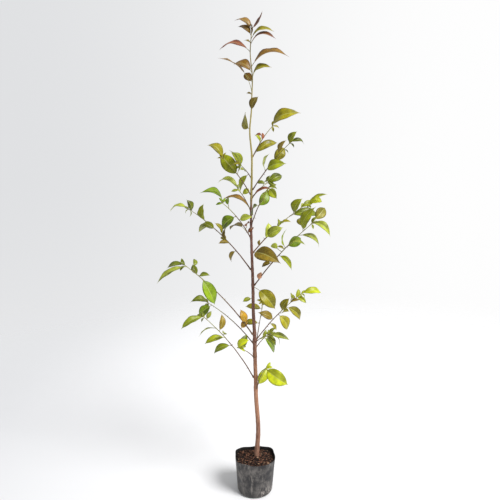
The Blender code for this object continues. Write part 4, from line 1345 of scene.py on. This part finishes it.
def trunk_line():
    """The trunk and leader as one run, swollen at each shoot and each old leaf scar."""
    draw = random.Random("trunk scars")
    swells = [(shoot.height, JOINT_SWELL, JOINT_LENGTH) for shoot in SHOOTS]
    level = SOIL_TOP + SCAR_START
    while level < LEADER_TOP - 0.02:
        swells.append((level, SCAR_SWELL * draw.uniform(0.4, 1.2), SCAR_LENGTH))
        level += SCAR_SPACING * draw.uniform(0.6, 1.5)
    run = []
    for level in heights(SOIL_TOP - BURIED, LEADER_TOP, RING_STEP):
        radius = trunk_radius(max(level, SOIL_TOP))
        swell = sum(size * math.exp(-((level - place) / reach) ** 2)
                    for place, size, reach in swells)
        share = (level - SOIL_TOP) / (LEADER_TOP - SOIL_TOP)
        tip = 0.55 + 0.45 * min(1.0, (LEADER_TOP - level) / TIP_LENGTH)
        place = trunk_point(max(level, SOIL_TOP)) + Vector((0, 0, min(0.0, level - SOIL_TOP)))
        run.append((place, radius * (1.0 + swell) * tip, 1.0 - share))
    return run


def root_lines():
    """Short surface roots that run off the flare and down into the soil."""
    draw = random.Random("roots")
    middle = trunk_point(SOIL_TOP)
    for number in range(ROOT_COUNT):
        angle = 2.0 * math.pi * (number + draw.uniform(-0.25, 0.25)) / ROOT_COUNT
        reach = ROOT_REACH * draw.uniform(0.6, 1.2)
        bend = draw.uniform(-0.5, 0.5)
        run = []
        for step in range(ROOT_STEPS + 1):
            share = step / ROOT_STEPS
            turn = angle + bend * share
            out = Vector((math.cos(turn), math.sin(turn), 0.0)) * (ROOT_START + reach * share)
            place = middle + out + Vector((0, 0, ROOT_RISE - ROOT_DROP * share ** 0.8))
            run.append((place, ROOT_GIRTH * (1.0 - 0.62 * share), 1.0))
        yield run


def shoot_line(shoot, limb):
    """A shoot from inside the trunk to its tip, swollen at its leaves and slightly crooked."""
    seed = sum(ord(letter) for letter in shoot.name)
    nodes = [leaf.share for leaf in shoot.leaves]
    inside = trunk_point(shoot.height) - Vector((0.0, 0.0, limb.base_radius * 0.4))
    count = max(8, int(limb.length / SHOOT_RINGS))
    run = [(inside, limb.base_radius * 1.30, 1.0)]
    for step in range(count + 1):
        share = step / count
        place = limb.at(share)
        drift = Vector(noise.noise_vector(place * 55.0 + Vector((seed, 0.0, 0.0))))
        ends = min(1.0, share * 12.0) * min(1.0, (1.0 - share) * 12.0)
        collar = 0.42 * math.exp(-share * limb.length / 0.004)
        swell = sum(0.22 * math.exp(-(((share - node) * limb.length) / 0.0016) ** 2)
                    for node in nodes)
        girth = limb.radius(share) * (1.0 + collar + min(swell, 0.3))
        run.append((place + drift * WIGGLE * ends, girth, max(0.0, 1.0 - share * 1.15)))
    return run


def spur_lines(shoot, limb):
    """Dry stubs where old side twigs dropped off."""
    draw = random.Random(shoot.name + " spurs")
    for _ in range(int(limb.length / SPUR_SPACING)):
        share = draw.uniform(0.12, 0.9)
        foot = limb.at(share)
        line = swung(draw.uniform(0.0, 360.0), draw.uniform(-50.0, 50.0))
        line = (line - limb.direction(share) * line.dot(limb.direction(share)) * 0.6).normalized()
        size = draw.uniform(*SPUR_SIZE)
        reach = limb.radius(share) + size
        yield [(foot + line * reach * step / 3.0, SPUR_GIRTH * (1.0 - 0.22 * step), 0.9)
               for step in range(4)]


def twig_line(foot, end):
    return [(foot.lerp(end, step / 5.0), TWIG_GIRTH - 0.00005 * step, 0.35 - 0.06 * step)
            for step in range(6)]


def stalk_line(leaf, start):
    """A leaf's stalk from inside its stem, run on as the rib under the blade."""
    blade = leaf.blade
    last = blade.stalk + (1.0 - blade.stalk) * STALK_RUN_ON
    run = [] if start is None else [(start, STALK_BASE, 0.4)]
    for step in range(STALK_RINGS):
        share = last * step / (STALK_RINGS - 1)
        beyond = max(0.0, share - blade.stalk) / (last - blade.stalk + 1e-9)
        place = blade.point(share, 0.0, -STALK_END * 0.6 * min(1.0, beyond * 3.0))
        girth = STALK_BASE + (STALK_END - STALK_BASE) * step / (STALK_RINGS - 1)
        run.append((place, girth * (1.0 - 0.75 * beyond), 0.35 * (1.0 - share / last)))
    return run


def stalk_start(leaf, limbs):
    """The middle of the stem for a leaf that stands by itself, or nothing for the others."""
    for name, host, listed in LONE_LEAVES:
        if name == leaf.node:
            return lone_foot(host, listed, limbs)[1]
    return None


# Buds

BUD_RINGS = 6
BUD_SIDES = 7


def bud_shape(length, width, hook):
    """A slim scaly bud, hooked to one side, pointing up from the origin."""
    points = []
    for ring in range(BUD_RINGS):
        share = ring / (BUD_RINGS - 1)
        bulge = math.sin(math.pi * (0.16 + 0.84 * share) ** 0.8) ** 0.8
        radius = max(width * bulge, width * 0.06)
        for angle in angles(BUD_SIDES):
            ridge = 1.0 + 0.12 * math.cos(3.0 * angle + 5.0 * share)
            points.append((radius * ridge * math.cos(angle) + hook * share ** 2,
                           radius * ridge * math.sin(angle), length * share))
    return mesh_of("bud", points, closed_faces(BUD_RINGS, BUD_SIDES))


def bud_points():
    """Where buds stand: the tip of each shoot and the angle above each leaf's foot."""
    grown = plan()
    draw = random.Random("buds")
    points = [(trunk_point(LEADER_TOP - 0.001), Vector((0.1, 0.0, 1.0)), 1.1)]
    for shoot in SHOOTS:
        limb = grown.limbs[shoot.name]
        points.append((limb.at(0.995), limb.direction(1.0), draw.uniform(0.75, 1.1)))
    for name, _, _, end in grown.twigs:
        points.append((end, (end - grown.limbs[name].at(1.0)).normalized() * -1.0, 0.5))
    for leaf in grown.leaves:
        limb = grown.limbs.get(leaf.spray)
        if limb is None or leaf.number >= len(TINTS[leaf.spray]):
            continue
        share = min(1.0, max(0.0, (leaf.blade.foot - limb.foot).length / limb.length))
        aim = (leaf.blade.along + limb.direction(share) * 1.4).normalized()
        place = leaf.blade.foot + aim * limb.radius(share) * 0.7
        points.append((place, aim, draw.uniform(0.35, 0.55)))
    return points


# Pot

POT_COLUMNS = 192
POT_ROWS = 60
POT_SKIN = 0.0009
PLEATS = (
    # angle, depth, width in degrees, from and to as shares of the height
    (-96.0, 0.0010, 3.4, 0.05, 0.62), (-88.0, -0.0006, 4.0, 0.10, 0.75),
    (-112.0, 0.0006, 5.0, 0.20, 0.90), (-70.0, 0.0007, 4.2, 0.02, 0.48),
    (-48.0, 0.0006, 5.5, 0.30, 0.95), (-140.0, 0.0007, 5.0, 0.0, 0.55),
    (25.0, 0.0009, 4.5, 0.25, 0.98), (75.0, 0.0006, 5.0, 0.05, 0.60),
    (120.0, 0.0008, 4.0, 0.30, 0.92), (165.0, 0.0007, 5.0, 0.10, 0.70),
)
POT_CRUMPLE = 0.0006


def angle_between(a, b):
    return (a - b + math.pi) % (2.0 * math.pi) - math.pi


def pot_radius(angle, rise):
    """The outer wall's radius, as in the solids."""
    half_width = FOOT_RADIUS + (MOUTH_HALF_WIDTH - FOOT_RADIUS) * rise
    half_depth = FOOT_RADIUS + (MOUTH_HALF_DEPTH - FOOT_RADIUS) * rise
    power = 2.0 + (MOUTH_SQUARENESS - 2.0) * rise
    across = abs(math.cos(angle) / half_width) ** power
    deep = abs(math.sin(angle) / half_depth) ** power
    radius = (across + deep) ** (-1.0 / power)
    wave = sum(push * math.sin(turns * angle + phase) for turns, phase, push in MOUTH_WAVES)
    dent = math.exp(-((angle_between(angle, DENT_PLACE) / DENT_SPREAD) ** 2))
    return radius + (MOUTH_WAVE * wave - MOUTH_DENT * dent) * rise ** 2


def pot_crumple(angle, rise):
    """How far the soft wall stands off its even shape: pleats, and broad soft dents."""
    push = 0.0
    for place, depth, width, low, high in PLEATS:
        off = angle_between(angle, math.radians(place)) / math.radians(width)
        span = max(0.0, min(1.0, (rise - low) / 0.12)) * max(0.0, min(1.0, (high - rise) / 0.12))
        push -= depth * math.exp(-off * off) * ease(span)
    place = Vector((math.cos(angle) * 2.2, math.sin(angle) * 2.2, rise * 2.4))
    return push + POT_CRUMPLE * noise.noise(place) * (0.35 + 0.65 * rise)


def pot_profile(inset):
    """Radius (or None for the wall), height and share up the wall, from the floor's middle out."""
    centre = FOOT_RADIUS - FOOT_EDGE
    bend = FOOT_EDGE - inset
    rings = [(centre * share, inset, 0.0) for share in (0.15, 0.4, 0.7, 0.9)]
    for step in range(8):
        angle = math.radians(90.0) * step / 7.0
        rings.append((centre + bend * math.sin(angle), FOOT_EDGE - bend * math.cos(angle), 0.0))
    for step in range(1, POT_ROWS + 1):
        rise = step / POT_ROWS
        rings.append((None, FOOT_EDGE + (POT_HEIGHT - FOOT_EDGE) * rise, rise))
    return rings


def rim_height(angle):
    """The cut edge of the soft mouth, which is not quite level."""
    return (0.0015 * math.sin(angle * 2.0 + 0.7) + 0.0009 * math.sin(angle * 5.0)
            + 0.0005 * math.sin(angle * 9.0 + 1.0))


def pot_shell_rings(inset):
    rings = []
    for radius, height, rise in pot_profile(inset):
        ring = []
        for angle in angles(POT_COLUMNS):
            reach = radius
            if radius is None:
                reach = pot_radius(angle, rise) - inset + pot_crumple(angle, rise)
            level = height + rim_height(angle) * rise ** 6
            ring.append((reach * math.cos(angle), reach * math.sin(angle), level))
        rings.append(ring)
    return rings


def pot_mesh(thickness):
    """The soft pot: outer and inner wall closed over the rim, without its drain holes."""
    outer = pot_shell_rings(0.0)
    inner = pot_shell_rings(thickness)
    lip = []
    for out, within in zip(outer[-1], inner[-1]):
        crown = [(a + b) / 2.0 for a, b in zip(out, within)]
        crown[2] += thickness * 0.35
        lip.append(tuple(crown))
    rings = outer + [lip] + inner[::-1]
    points = [point for ring in rings for point in ring]
    inside = (len(outer) + 1) * POT_COLUMNS
    marks = (("inner", "POINT", [float(index >= inside) for index in range(len(points))]),)
    mesh = mesh_of("pot_skin", points, closed_faces(len(rings), POT_COLUMNS), marks)
    outward(mesh)
    return mesh


def cut_drain_holes(mesh):
    shell = placed("pot_blank", mesh)
    shape = bmesh.new()
    for angle in angles(DRAIN_HOLES):
        made = bmesh.ops.create_cone(
            shape, cap_ends=True, segments=DRAIN_SIDES, radius1=DRAIN_RADIUS,
            radius2=DRAIN_RADIUS, depth=DRAIN_DEPTH)
        place = Vector((DRAIN_RING * math.cos(angle), DRAIN_RING * math.sin(angle), 0.0))
        bmesh.ops.translate(shape, vec=place, verts=made["verts"])
    cutters = bpy.data.meshes.new("drain_cutters")
    shape.to_mesh(cutters)
    shape.free()
    cutter = placed("drain_cutters", cutters)
    cut = shell.modifiers.new("holes", "BOOLEAN")
    cut.operation = "DIFFERENCE"
    cut.solver = "EXACT"
    cut.object = cutter
    result = evaluated_mesh(shell)
    for item in (shell, cutter):
        bpy.data.objects.remove(item, do_unlink=True)
    result.shade_smooth()
    return result


# Soil

SOIL_COLUMNS = 120
SOIL_RINGS = 34
SOIL_EDGE = 0.0820
SOIL_MOUND = 0.0070
SOIL_LUMPS = 0.0032
SOIL_CLEAR = 0.0003
SOIL_TOP_CLEAR = 0.0002
SOIL_SHOULDER = 0.006
CHIP_CORNERS = 11
STRAW_RINGS = 6
STRAW_SIDES = 5


def soil_height(x, y, share, mound):
    """The soil's level: heaped round the stem, lumpy, and lowest along the wall."""
    stem = trunk_point(SOIL_TOP)
    near = math.hypot(x - stem.x, y - stem.y)
    heap = mound * math.exp(-(near / 0.020) ** 2) + mound * 0.45 * (1.0 - share ** 2)
    lumps = (noise.noise(Vector((x, y, 0.0)) * 110.0)
             + 0.5 * noise.noise(Vector((x, y, 3.0)) * 260.0))
    fine = 0.25 * noise.noise(Vector((x, y, 7.0)) * 700.0)
    return SOIL_EDGE + heap * 0.8 + SOIL_LUMPS * (lumps * 0.7 + fine)


def soil_rings(mound):
    """Rings of the soil's top from its middle out to the wall."""
    rise = (SOIL_TOP - FOOT_EDGE) / (POT_HEIGHT - FOOT_EDGE)
    for ring in range(SOIL_RINGS):
        share = (ring + 0.35) / (SOIL_RINGS - 0.65)
        row = []
        for angle in angles(SOIL_COLUMNS):
            edge = pot_radius(angle, rise) + pot_crumple(angle, rise) - POT_SKIN - SOIL_TOP_CLEAR
            x, y = edge * share * math.cos(angle), edge * share * math.sin(angle)
            row.append((x, y, soil_height(x, y, share, mound)))
        yield row


def soil_mesh(mound):
    """The whole soil body: its lumpy top, and the shape of the pot below."""
    rings = []
    for radius, height, rise in pot_profile(POT_SKIN + SOIL_CLEAR):
        if height > SOIL_TOP - SOIL_SHOULDER:
            break
        row = []
        for angle in angles(SOIL_COLUMNS):
            reach = radius
            if radius is None:
                reach = pot_radius(angle, rise) + pot_crumple(angle, rise) - POT_SKIN - SOIL_CLEAR
            row.append((reach * math.cos(angle), reach * math.sin(angle), height))
        rings.append(row)
    rings += list(soil_rings(mound))[::-1]
    points = [point for ring in rings for point in ring]
    mesh = mesh_of("soil_body", points, closed_faces(len(rings), SOIL_COLUMNS))
    outward(mesh)
    return mesh


def soil_top(mound, low, high):
    """A band of the soil's surface to strew on, by shares out from the stem."""
    first = int(low * (SOIL_RINGS - 1))
    last = int(high * (SOIL_RINGS - 1))
    rings = list(soil_rings(mound))[first:last + 1]
    faces = [(near, far, beyond, after) for near, after, beyond, far
             in ring_faces(len(rings), SOIL_COLUMNS)]
    return mesh_of("soil_patch", [point for ring in rings for point in ring], faces)


def chip_shape(seed, size, flat):
    """A broken bit: the hull round a few seeded points."""
    draw = random.Random(seed)
    shape = bmesh.new()
    for _ in range(CHIP_CORNERS):
        line = Vector([draw.gauss(0.0, 1.0) for _ in range(3)]).normalized()
        line *= draw.uniform(0.75, 1.0)
        shape.verts.new((line.x * size, line.y * size * 0.62, line.z * size * flat))
    bmesh.ops.convex_hull(shape, input=shape.verts)
    loose = [vert for vert in shape.verts if not vert.link_faces]
    bmesh.ops.delete(shape, geom=loose, context="VERTS")
    bmesh.ops.recalc_face_normals(shape, faces=shape.faces)
    mesh = bpy.data.meshes.new(seed)
    shape.to_mesh(mesh)
    shape.free()
    return mesh


def straw_shape(seed, length, girth):
    """A bent bit of dry stalk, lying along x."""
    draw = random.Random(seed)
    bend = draw.uniform(-0.25, 0.25) * length
    points = []
    for step in range(STRAW_RINGS):
        share = step / (STRAW_RINGS - 1)
        across = bend * math.sin(math.pi * share)
        for angle in angles(STRAW_SIDES):
            points.append((length * (share - 0.5), across + girth * math.cos(angle),
                           girth * math.sin(angle) + girth))
    mesh = mesh_of(seed, points, closed_faces(STRAW_RINGS, STRAW_SIDES))
    outward(mesh)
    return mesh


# Settings that a user would change

def colour_setting(name, description, colour):
    return FloatVectorProperty(
        name=name, description=description, subtype="COLOR", size=3, min=0.0, max=1.0,
        default=colour)


def size_setting(name, description, size, most):
    return FloatProperty(
        name=name, description=description, subtype="DISTANCE", unit="LENGTH", min=0.0,
        max=most, default=size, precision=5)


class SakakiPotSettings(bpy.types.PropertyGroup):
    """The soft black pot"""

    thickness: size_setting("Wall", "Thickness of the soft wall", POT_SKIN, 0.003)
    black: colour_setting("Black", "Bare plastic", tone(33, 32, 34))
    dust: colour_setting("Dust", "Plastic under its film of dust", tone(100, 96, 93))


class SakakiSoilSettings(bpy.types.PropertyGroup):
    """The soil and what lies on it"""

    mound: size_setting("Mound", "How far the soil is heaped round the stem", SOIL_MOUND, 0.02)
    light: colour_setting("Light soil", "Dry crumbs", tone(62, 44, 35))
    dark: colour_setting("Dark soil", "Damp soil", tone(19, 14, 12))
    seed: IntProperty(name="Seed", description="Where the litter falls", min=0, default=11)


class SakakiStemSettings(bpy.types.PropertyGroup):
    """The trunk, the leader and the shoots"""

    relief: size_setting("Bark relief", "Depth of the grain of the trunk's bark", 0.0007, 0.003)
    grain: size_setting("Bark grain", "Width of the grain of the trunk's bark", 0.0026, 0.02)
    low: colour_setting("Low bark", "Bark near the soil", tone(164, 112, 84))
    middle: colour_setting("Middle bark", "Bark half way up", tone(98, 54, 48))
    high: colour_setting("High bark", "Bark of the leader", tone(172, 160, 80))
    old: colour_setting("Shoot foot", "Bark where a shoot leaves the trunk", tone(96, 60, 48))
    young: colour_setting("Shoot tip", "Skin of a young shoot", tone(142, 142, 70))
    stalk: colour_setting("Leaf stalk", "Skin of the leaf stalks", tone(164, 164, 92))


class SakakiLeafSettings(bpy.types.PropertyGroup):
    """The leaves"""

    thickness: size_setting("Thickness", "Thickness of a blade at its middle", 0.00045, 0.002)
    ripple: FloatProperty(
        name="Ripple", description="Wave of the margin, as a share of the half width",
        min=0.0, max=0.5, default=0.07)
    curl: FloatProperty(
        name="Curl", description="How far the margin turns down, as a share of the half width",
        min=0.0, max=0.5, default=0.08)
    __annotations__.update({
        tint.name: colour_setting(tint.label, tint.hint, tint.upper)
        for tint in LEAF_TINTS.values()})


class SakakiStageSettings(bpy.types.PropertyGroup):
    """The floor, the light and the camera"""

    floor: colour_setting("Floor", "The plain pale floor", (0.92, 0.92, 0.93))
    key: FloatProperty(
        name="Key light", description="The soft light from the right", min=0.0,
        default=3.0)
    sky: FloatProperty(
        name="Surround", description="How much light the plain surround gives", min=0.0,
        default=0.58)


# One operator for each piece or group of like pieces

class SakakiGrowTrunk(bpy.types.Operator):
    """Grow the trunk and its leader, with grained bark, leaf scars and surface roots"""

    bl_idname = "sakaki.grow_trunk"
    bl_label = "Trunk"

    def execute(self, context):
        made = context.scene.sakaki_stem
        material = bark_material(made.low, made.middle, made.high)
        guide = lines_mesh("trunk_guide", [trunk_line()] + list(root_lines()))
        mesh = grow("trunk_bark", guide, limb_skin_tree(), {
            "Sides": 30, "Relief": made.relief, "Grain Size": made.grain,
            "Grain Stretch": 5.0, "Material": material})
        show("trunk_bark", mesh, None, "bark", ["trunk"])
        return {"FINISHED"}


class SakakiGrowShoots(bpy.types.Operator):
    """Grow the boughs and shoots from the trunk, with their side twigs and dry stubs"""

    bl_idname = "sakaki.grow_shoots"
    bl_label = "Shoots"

    def execute(self, context):
        made = context.scene.sakaki_stem
        grown = plan()
        lines = []
        for shoot in SHOOTS:
            limb = grown.limbs[shoot.name]
            lines.append(shoot_line(shoot, limb))
            lines.extend(spur_lines(shoot, limb))
        lines.extend(twig_line(foot, end) for _, _, foot, end in grown.twigs)
        material = shoot_material("shoot_bark", made.old, made.young)
        mesh = grow("shoots", lines_mesh("shoot_guide", lines), limb_skin_tree(), {
            "Sides": 12, "Relief": made.relief * 0.35, "Grain Size": made.grain * 0.6,
            "Grain Stretch": 3.0, "Material": material})
        nodes = ["bough_" + shoot.name for shoot in SHOOTS if shoot.bare]
        nodes += ["foliage_" + shoot.name for shoot in SHOOTS]
        show("shoots", mesh, None, "shoot_bark", nodes)
        return {"FINISHED"}


class SakakiGrowStalks(bpy.types.Operator):
    """Grow the stalk of every leaf, run on as the rib under its blade"""

    bl_idname = "sakaki.grow_stalks"
    bl_label = "Leaf stalks"

    def execute(self, context):
        made = context.scene.sakaki_stem
        grown = plan()
        lines = [stalk_line(leaf, stalk_start(leaf, grown.limbs)) for leaf in grown.leaves]
        lines += [stalk_line(leaf, None) for leaf in young_leaves(grown)]
        material = shoot_material("stalk_skin", made.old, made.stalk)
        mesh = grow("leaf_stalks", lines_mesh("stalk_guide", lines), limb_skin_tree(), {
            "Sides": 8, "Relief": 0.0, "Material": material})
        nodes = sorted({leaf.node for leaf in grown.leaves})
        show("leaf_stalks", mesh, None, "shoot_bark", nodes)
        return {"FINISHED"}


class SakakiGrowLeaves(bpy.types.Operator):
    """Unfold every leaf in its own outline, joined into one piece for each tint"""

    bl_idname = "sakaki.grow_leaves"
    bl_label = "Leaves"

    def execute(self, context):
        made = context.scene.sakaki_leaves
        gathered = gather_leaves(made.thickness, made.ripple, made.curl)
        for key, (points, faces, marks, nodes) in gathered.items():
            if not faces:
                continue
            tint = LEAF_TINTS[key]
            written = [(mark, "FACE" if mark == "under" else "POINT", values)
                       for mark, values in marks.items()]
            mesh = mesh_of("leaves_" + tint.name, np.concatenate(points), faces, written)
            material = leaf_material(tint, tuple(getattr(made, tint.name)))
            show("leaves_" + tint.name, mesh, material, tint.slot, sorted(nodes))
        return {"FINISHED"}


class SakakiSetBuds(bpy.types.Operator):
    """Set a hooked bud at every tip and a small one above every leaf's foot"""

    bl_idname = "sakaki.set_buds"
    bl_label = "Buds"

    def execute(self, context):
        made = context.scene.sakaki_stem
        places = bud_points()
        guide = bpy.data.meshes.new("bud_guide")
        guide.from_pydata([tuple(place) for place, _, _ in places], [], [])
        write_mark(guide, "aim", "POINT", [tuple(aim) for _, aim, _ in places], "FLOAT_VECTOR")
        write_mark(guide, "size", "POINT", [size for _, _, size in places])
        kit = shape_kit("bud_shapes", [
            bud_shape(0.0085, 0.00085, 0.0012), bud_shape(0.0075, 0.00095, 0.0018),
            bud_shape(0.0065, 0.00090, 0.0004)])
        material = shoot_material("bud_skin", made.old, made.young)
        mesh = grow("buds", guide, bud_tree(), {"Shapes": kit, "Seed": 5, "Material": material})
        clear_kit(kit)
        mesh.shade_smooth()
        show("buds", mesh, None, "shoot_bark", ["foliage_leader"])
        return {"FINISHED"}


class SakakiMouldPot(bpy.types.Operator):
    """Mould the soft pot with its creases, uneven mouth and drain holes"""

    bl_idname = "sakaki.mould_pot"
    bl_label = "Pot"

    def execute(self, context):
        made = context.scene.sakaki_pot
        mesh = cut_drain_holes(pot_mesh(made.thickness))
        show("pot_skin", mesh, pot_material(made.black, made.dust), "pot_plastic", ["pot"])
        return {"FINISHED"}


class SakakiFillSoil(bpy.types.Operator):
    """Fill the pot with soil and strew bark chips, crumbs and straws over it"""

    bl_idname = "sakaki.fill_soil"
    bl_label = "Soil"

    def execute(self, context):
        made = context.scene.sakaki_soil
        soil = mottled_material(
            "potting_soil", made.light, made.dark, 210.0, 1400.0, 0.46, 0.95, 0.002)
        show("soil_body", soil_mesh(made.mound), soil, "potting_soil", ["soil"])
        for litter in LITTER:
            patch = soil_top(made.mound, *litter.where)
            kit = shape_kit(litter.name + "_shapes", litter.shapes())
            finish = mottled_material(
                litter.name, litter.light, litter.dark, 260.0, 1500.0, 0.5, litter.rough, 0.0006)
            mesh = grow(litter.name, patch, litter_tree(), {
                "Shapes": kit, "Spacing": litter.spacing, "Density": litter.density,
                "Seed": made.seed + litter.seed, "Smallest": litter.smallest,
                "Largest": litter.largest, "Tumble": litter.tumble, "Material": finish})
            clear_kit(kit)
            mesh.shade_flat()
            show(litter.name, mesh, None, "potting_soil", ["soil"])
        return {"FINISHED"}


Litter = namedtuple(
    "Litter", "name shapes light dark rough spacing density seed smallest largest tumble where")


def chips(name, sizes, flat):
    return lambda: [chip_shape("%s %d" % (name, number), size, flat)
                    for number, size in enumerate(sizes)]


LITTER = (
    Litter("soil_crumbs", chips("crumb", (0.0007, 0.0010, 0.0013, 0.0009), 0.75),
           tone(58, 41, 33), tone(16, 11, 10), 0.95, 0.0011, 900000.0, 1, 0.6, 1.5, 1.0,
           (0.0, 0.99)),
    Litter("bark_chips", chips("bark chip", (0.0024, 0.0034, 0.0044, 0.0028), 0.40),
           tone(146, 98, 74), tone(44, 27, 22), 0.85, 0.0052, 60000.0, 2, 0.5, 1.3, 0.6,
           (0.05, 0.95)),
    Litter("dark_chips", chips("dark chip", (0.0026, 0.0036, 0.0046), 0.5),
           tone(42, 30, 25), tone(12, 9, 8), 0.85, 0.0050, 70000.0, 3, 0.6, 1.3, 0.6,
           (0.05, 0.95)),
    Litter("pale_chips", chips("pale chip", (0.0022, 0.0032, 0.0040), 0.40),
           tone(204, 172, 138), tone(146, 106, 80), 0.8, 0.0095, 20000.0, 4, 0.5, 1.2, 0.5,
           (0.1, 0.97)),
    Litter("pink_chips", chips("pink chip", (0.0018, 0.0026), 0.4),
           tone(186, 138, 120), tone(140, 92, 78), 0.8, 0.0120, 16000.0, 5, 0.6, 1.2, 0.5,
           (0.1, 0.9)),
    Litter("straws", lambda: [straw_shape("straw a", 0.014, 0.00045),
                              straw_shape("straw b", 0.009, 0.00060)],
           tone(166, 118, 92), tone(92, 58, 44), 0.7, 0.0080, 30000.0, 6, 0.7, 1.3, 0.18,
           (0.1, 0.9)),
)


# Camera, light and floor

CAMERA_PLACE = (-0.0125, -1.184, 0.746)
CAMERA_PITCH = 83.3
SENSOR_WIDTH = 36.0
CAMERA_LENS = 501.0 / 500.0 * SENSOR_WIDTH
KEY_PLACE = (1.5, -1.3, 2.1)
KEY_SPREAD = math.radians(28.0)
FLOOR_REACH = 5.0
FLOOR_RINGS = 24
FLOOR_SIDES = 128


def floor_material(colour):
    """Plain pale floor, a little darker to the left as painted shade, that thins out towards its
    edge.
    """
    material, weave, surface = fresh_material("floor", Roughness=0.9, Specular_IOR_Level=0.2)
    place = weave.place()
    grain = weave.span(weave.noise(place, 6.0, 2.0), 0.3, 0.7, 0.0, 0.04)
    tinted = weave.mix(grain, full(colour), full((0.88, 0.88, 0.89)))
    across = weave.add("ShaderNodeSeparateXYZ", {0: place}).outputs["X"]
    # Painted shade: the floor darkens towards the left, away from the light.
    left = weave.span(across, -1.1, 0.0, 1.0, 0.0)
    weave.join(surface, "Base Color", weave.mix(left, tinted, full((0.66, 0.665, 0.68))))
    reach = weave.vector("LENGTH", place)
    weave.join(surface, "Alpha", weave.span(reach, 0.7, 2.6, 1.0, 0.0))
    return material


def floor_mesh():
    points = [(0.0, 0.0, 0.0)]
    for ring in range(1, FLOOR_RINGS + 1):
        reach = FLOOR_REACH * (ring / FLOOR_RINGS) ** 2
        for angle in angles(FLOOR_SIDES):
            points.append((reach * math.cos(angle), reach * math.sin(angle), 0.0))
    faces = [(0, 1 + side, 1 + (side + 1) % FLOOR_SIDES) for side in range(FLOOR_SIDES)]
    return mesh_of("floor", points, faces + ring_faces(FLOOR_RINGS, FLOOR_SIDES, 1))


def surround(world, strength):
    """A plain surround, a little brighter to the right, and white low down."""
    world.use_nodes = True
    weave = Weave(world.node_tree)
    back = world.node_tree.nodes["Background"]
    look = weave.add("ShaderNodeTexCoord").outputs["Generated"]
    split = weave.add("ShaderNodeSeparateXYZ", {0: look})
    right = weave.span(split.outputs["X"], -0.45, 0.40)
    colour = weave.mix(right, full(tone(224, 225, 227)), full(tone(254, 254, 254)))
    low = weave.span(split.outputs["Z"], -0.5, 0.05, 1.0, 0.0)
    whole = weave.mix(weave.times(low, 0.35), colour, full(tone(250, 250, 250)))
    weave.join(back, "Color", whole)
    seen = weave.add("ShaderNodeLightPath").outputs["Is Camera Ray"]
    weave.join(back, "Strength", weave.span(seen, 0.0, 1.0, strength, 1.0))


def soft_sun(name, place, spread, power):
    """A broad soft light from a far place, the same over the whole plant and floor."""
    light = bpy.data.lights.new(name, "SUN")
    light.angle = spread
    light.energy = power
    lamp = placed(name, light)
    lamp.location = place
    lamp.rotation_euler = (-Vector(place)).to_track_quat("-Z", "Y").to_euler()


class SakakiSetStage(bpy.types.Operator):
    """Set the plain floor, the soft light and the camera of the photograph's view"""

    bl_idname = "sakaki.set_stage"
    bl_label = "Stage"

    def execute(self, context):
        made = context.scene.sakaki_stage
        lens = bpy.data.cameras.new("camera")
        lens.sensor_width = SENSOR_WIDTH
        lens.lens = CAMERA_LENS
        lens.dof.use_dof = False
        camera = placed("camera", lens)
        camera.location = CAMERA_PLACE
        camera.rotation_euler = (math.radians(CAMERA_PITCH), 0.0, 0.0)
        context.scene.camera = camera
        mesh = floor_mesh()
        mesh.materials.append(floor_material(made.floor))
        floor = placed("floor", mesh)
        world = context.scene.world or bpy.data.worlds.new("surround")
        context.scene.world = world
        surround(world, made.sky)
        soft_sun("key", KEY_PLACE, KEY_SPREAD, made.key)
        context.scene.view_settings.view_transform = "Standard"
        return {"FINISHED"}


class SAKAKI_PT_panel(bpy.types.Panel):
    """Lists the pieces of the potted sapling"""

    bl_idname = "SAKAKI_PT_panel"
    bl_label = "Potted Sakaki"
    bl_space_type = "VIEW_3D"
    bl_region_type = "UI"
    bl_category = "Sakaki"

    def draw(self, context):
        layout = self.layout
        for label, group, operators in PARTS:
            box = layout.box()
            box.label(text=label)
            settings = getattr(context.scene, group)
            for name in type(settings).__annotations__:
                box.prop(settings, name)
            for operator in operators:
                box.operator(operator.bl_idname)


PARTS = (
    ("Pot", "sakaki_pot", (SakakiMouldPot,)),
    ("Soil", "sakaki_soil", (SakakiFillSoil,)),
    ("Stems", "sakaki_stem", (SakakiGrowTrunk, SakakiGrowShoots, SakakiGrowStalks, SakakiSetBuds)),
    ("Leaves", "sakaki_leaves", (SakakiGrowLeaves,)),
    ("Stage", "sakaki_stage", (SakakiSetStage,)),
)
GROUPS = {
    "sakaki_pot": SakakiPotSettings, "sakaki_soil": SakakiSoilSettings,
    "sakaki_stem": SakakiStemSettings, "sakaki_leaves": SakakiLeafSettings,
    "sakaki_stage": SakakiStageSettings,
}


def register():
    for name, group in GROUPS.items():
        bpy.utils.register_class(group)
        setattr(bpy.types.Scene, name, PointerProperty(type=group))
    for _, _, operators in PARTS:
        for operator in operators:
            bpy.utils.register_class(operator)
    bpy.utils.register_class(SAKAKI_PT_panel)


def unregister():
    bpy.utils.unregister_class(SAKAKI_PT_panel)
    for _, _, operators in reversed(PARTS):
        for operator in reversed(operators):
            bpy.utils.unregister_class(operator)
    for name, group in reversed(GROUPS.items()):
        delattr(bpy.types.Scene, name)
        bpy.utils.unregister_class(group)


def main():
    register()
    bpy.ops.sakaki.set_stage()
    bpy.ops.sakaki.mould_pot()
    bpy.ops.sakaki.fill_soil()
    bpy.ops.sakaki.grow_trunk()
    bpy.ops.sakaki.grow_shoots()
    bpy.ops.sakaki.grow_stalks()
    bpy.ops.sakaki.set_buds()
    bpy.ops.sakaki.grow_leaves()
    bpy.context.view_layer.update()


if __name__ == "__main__":
    main()
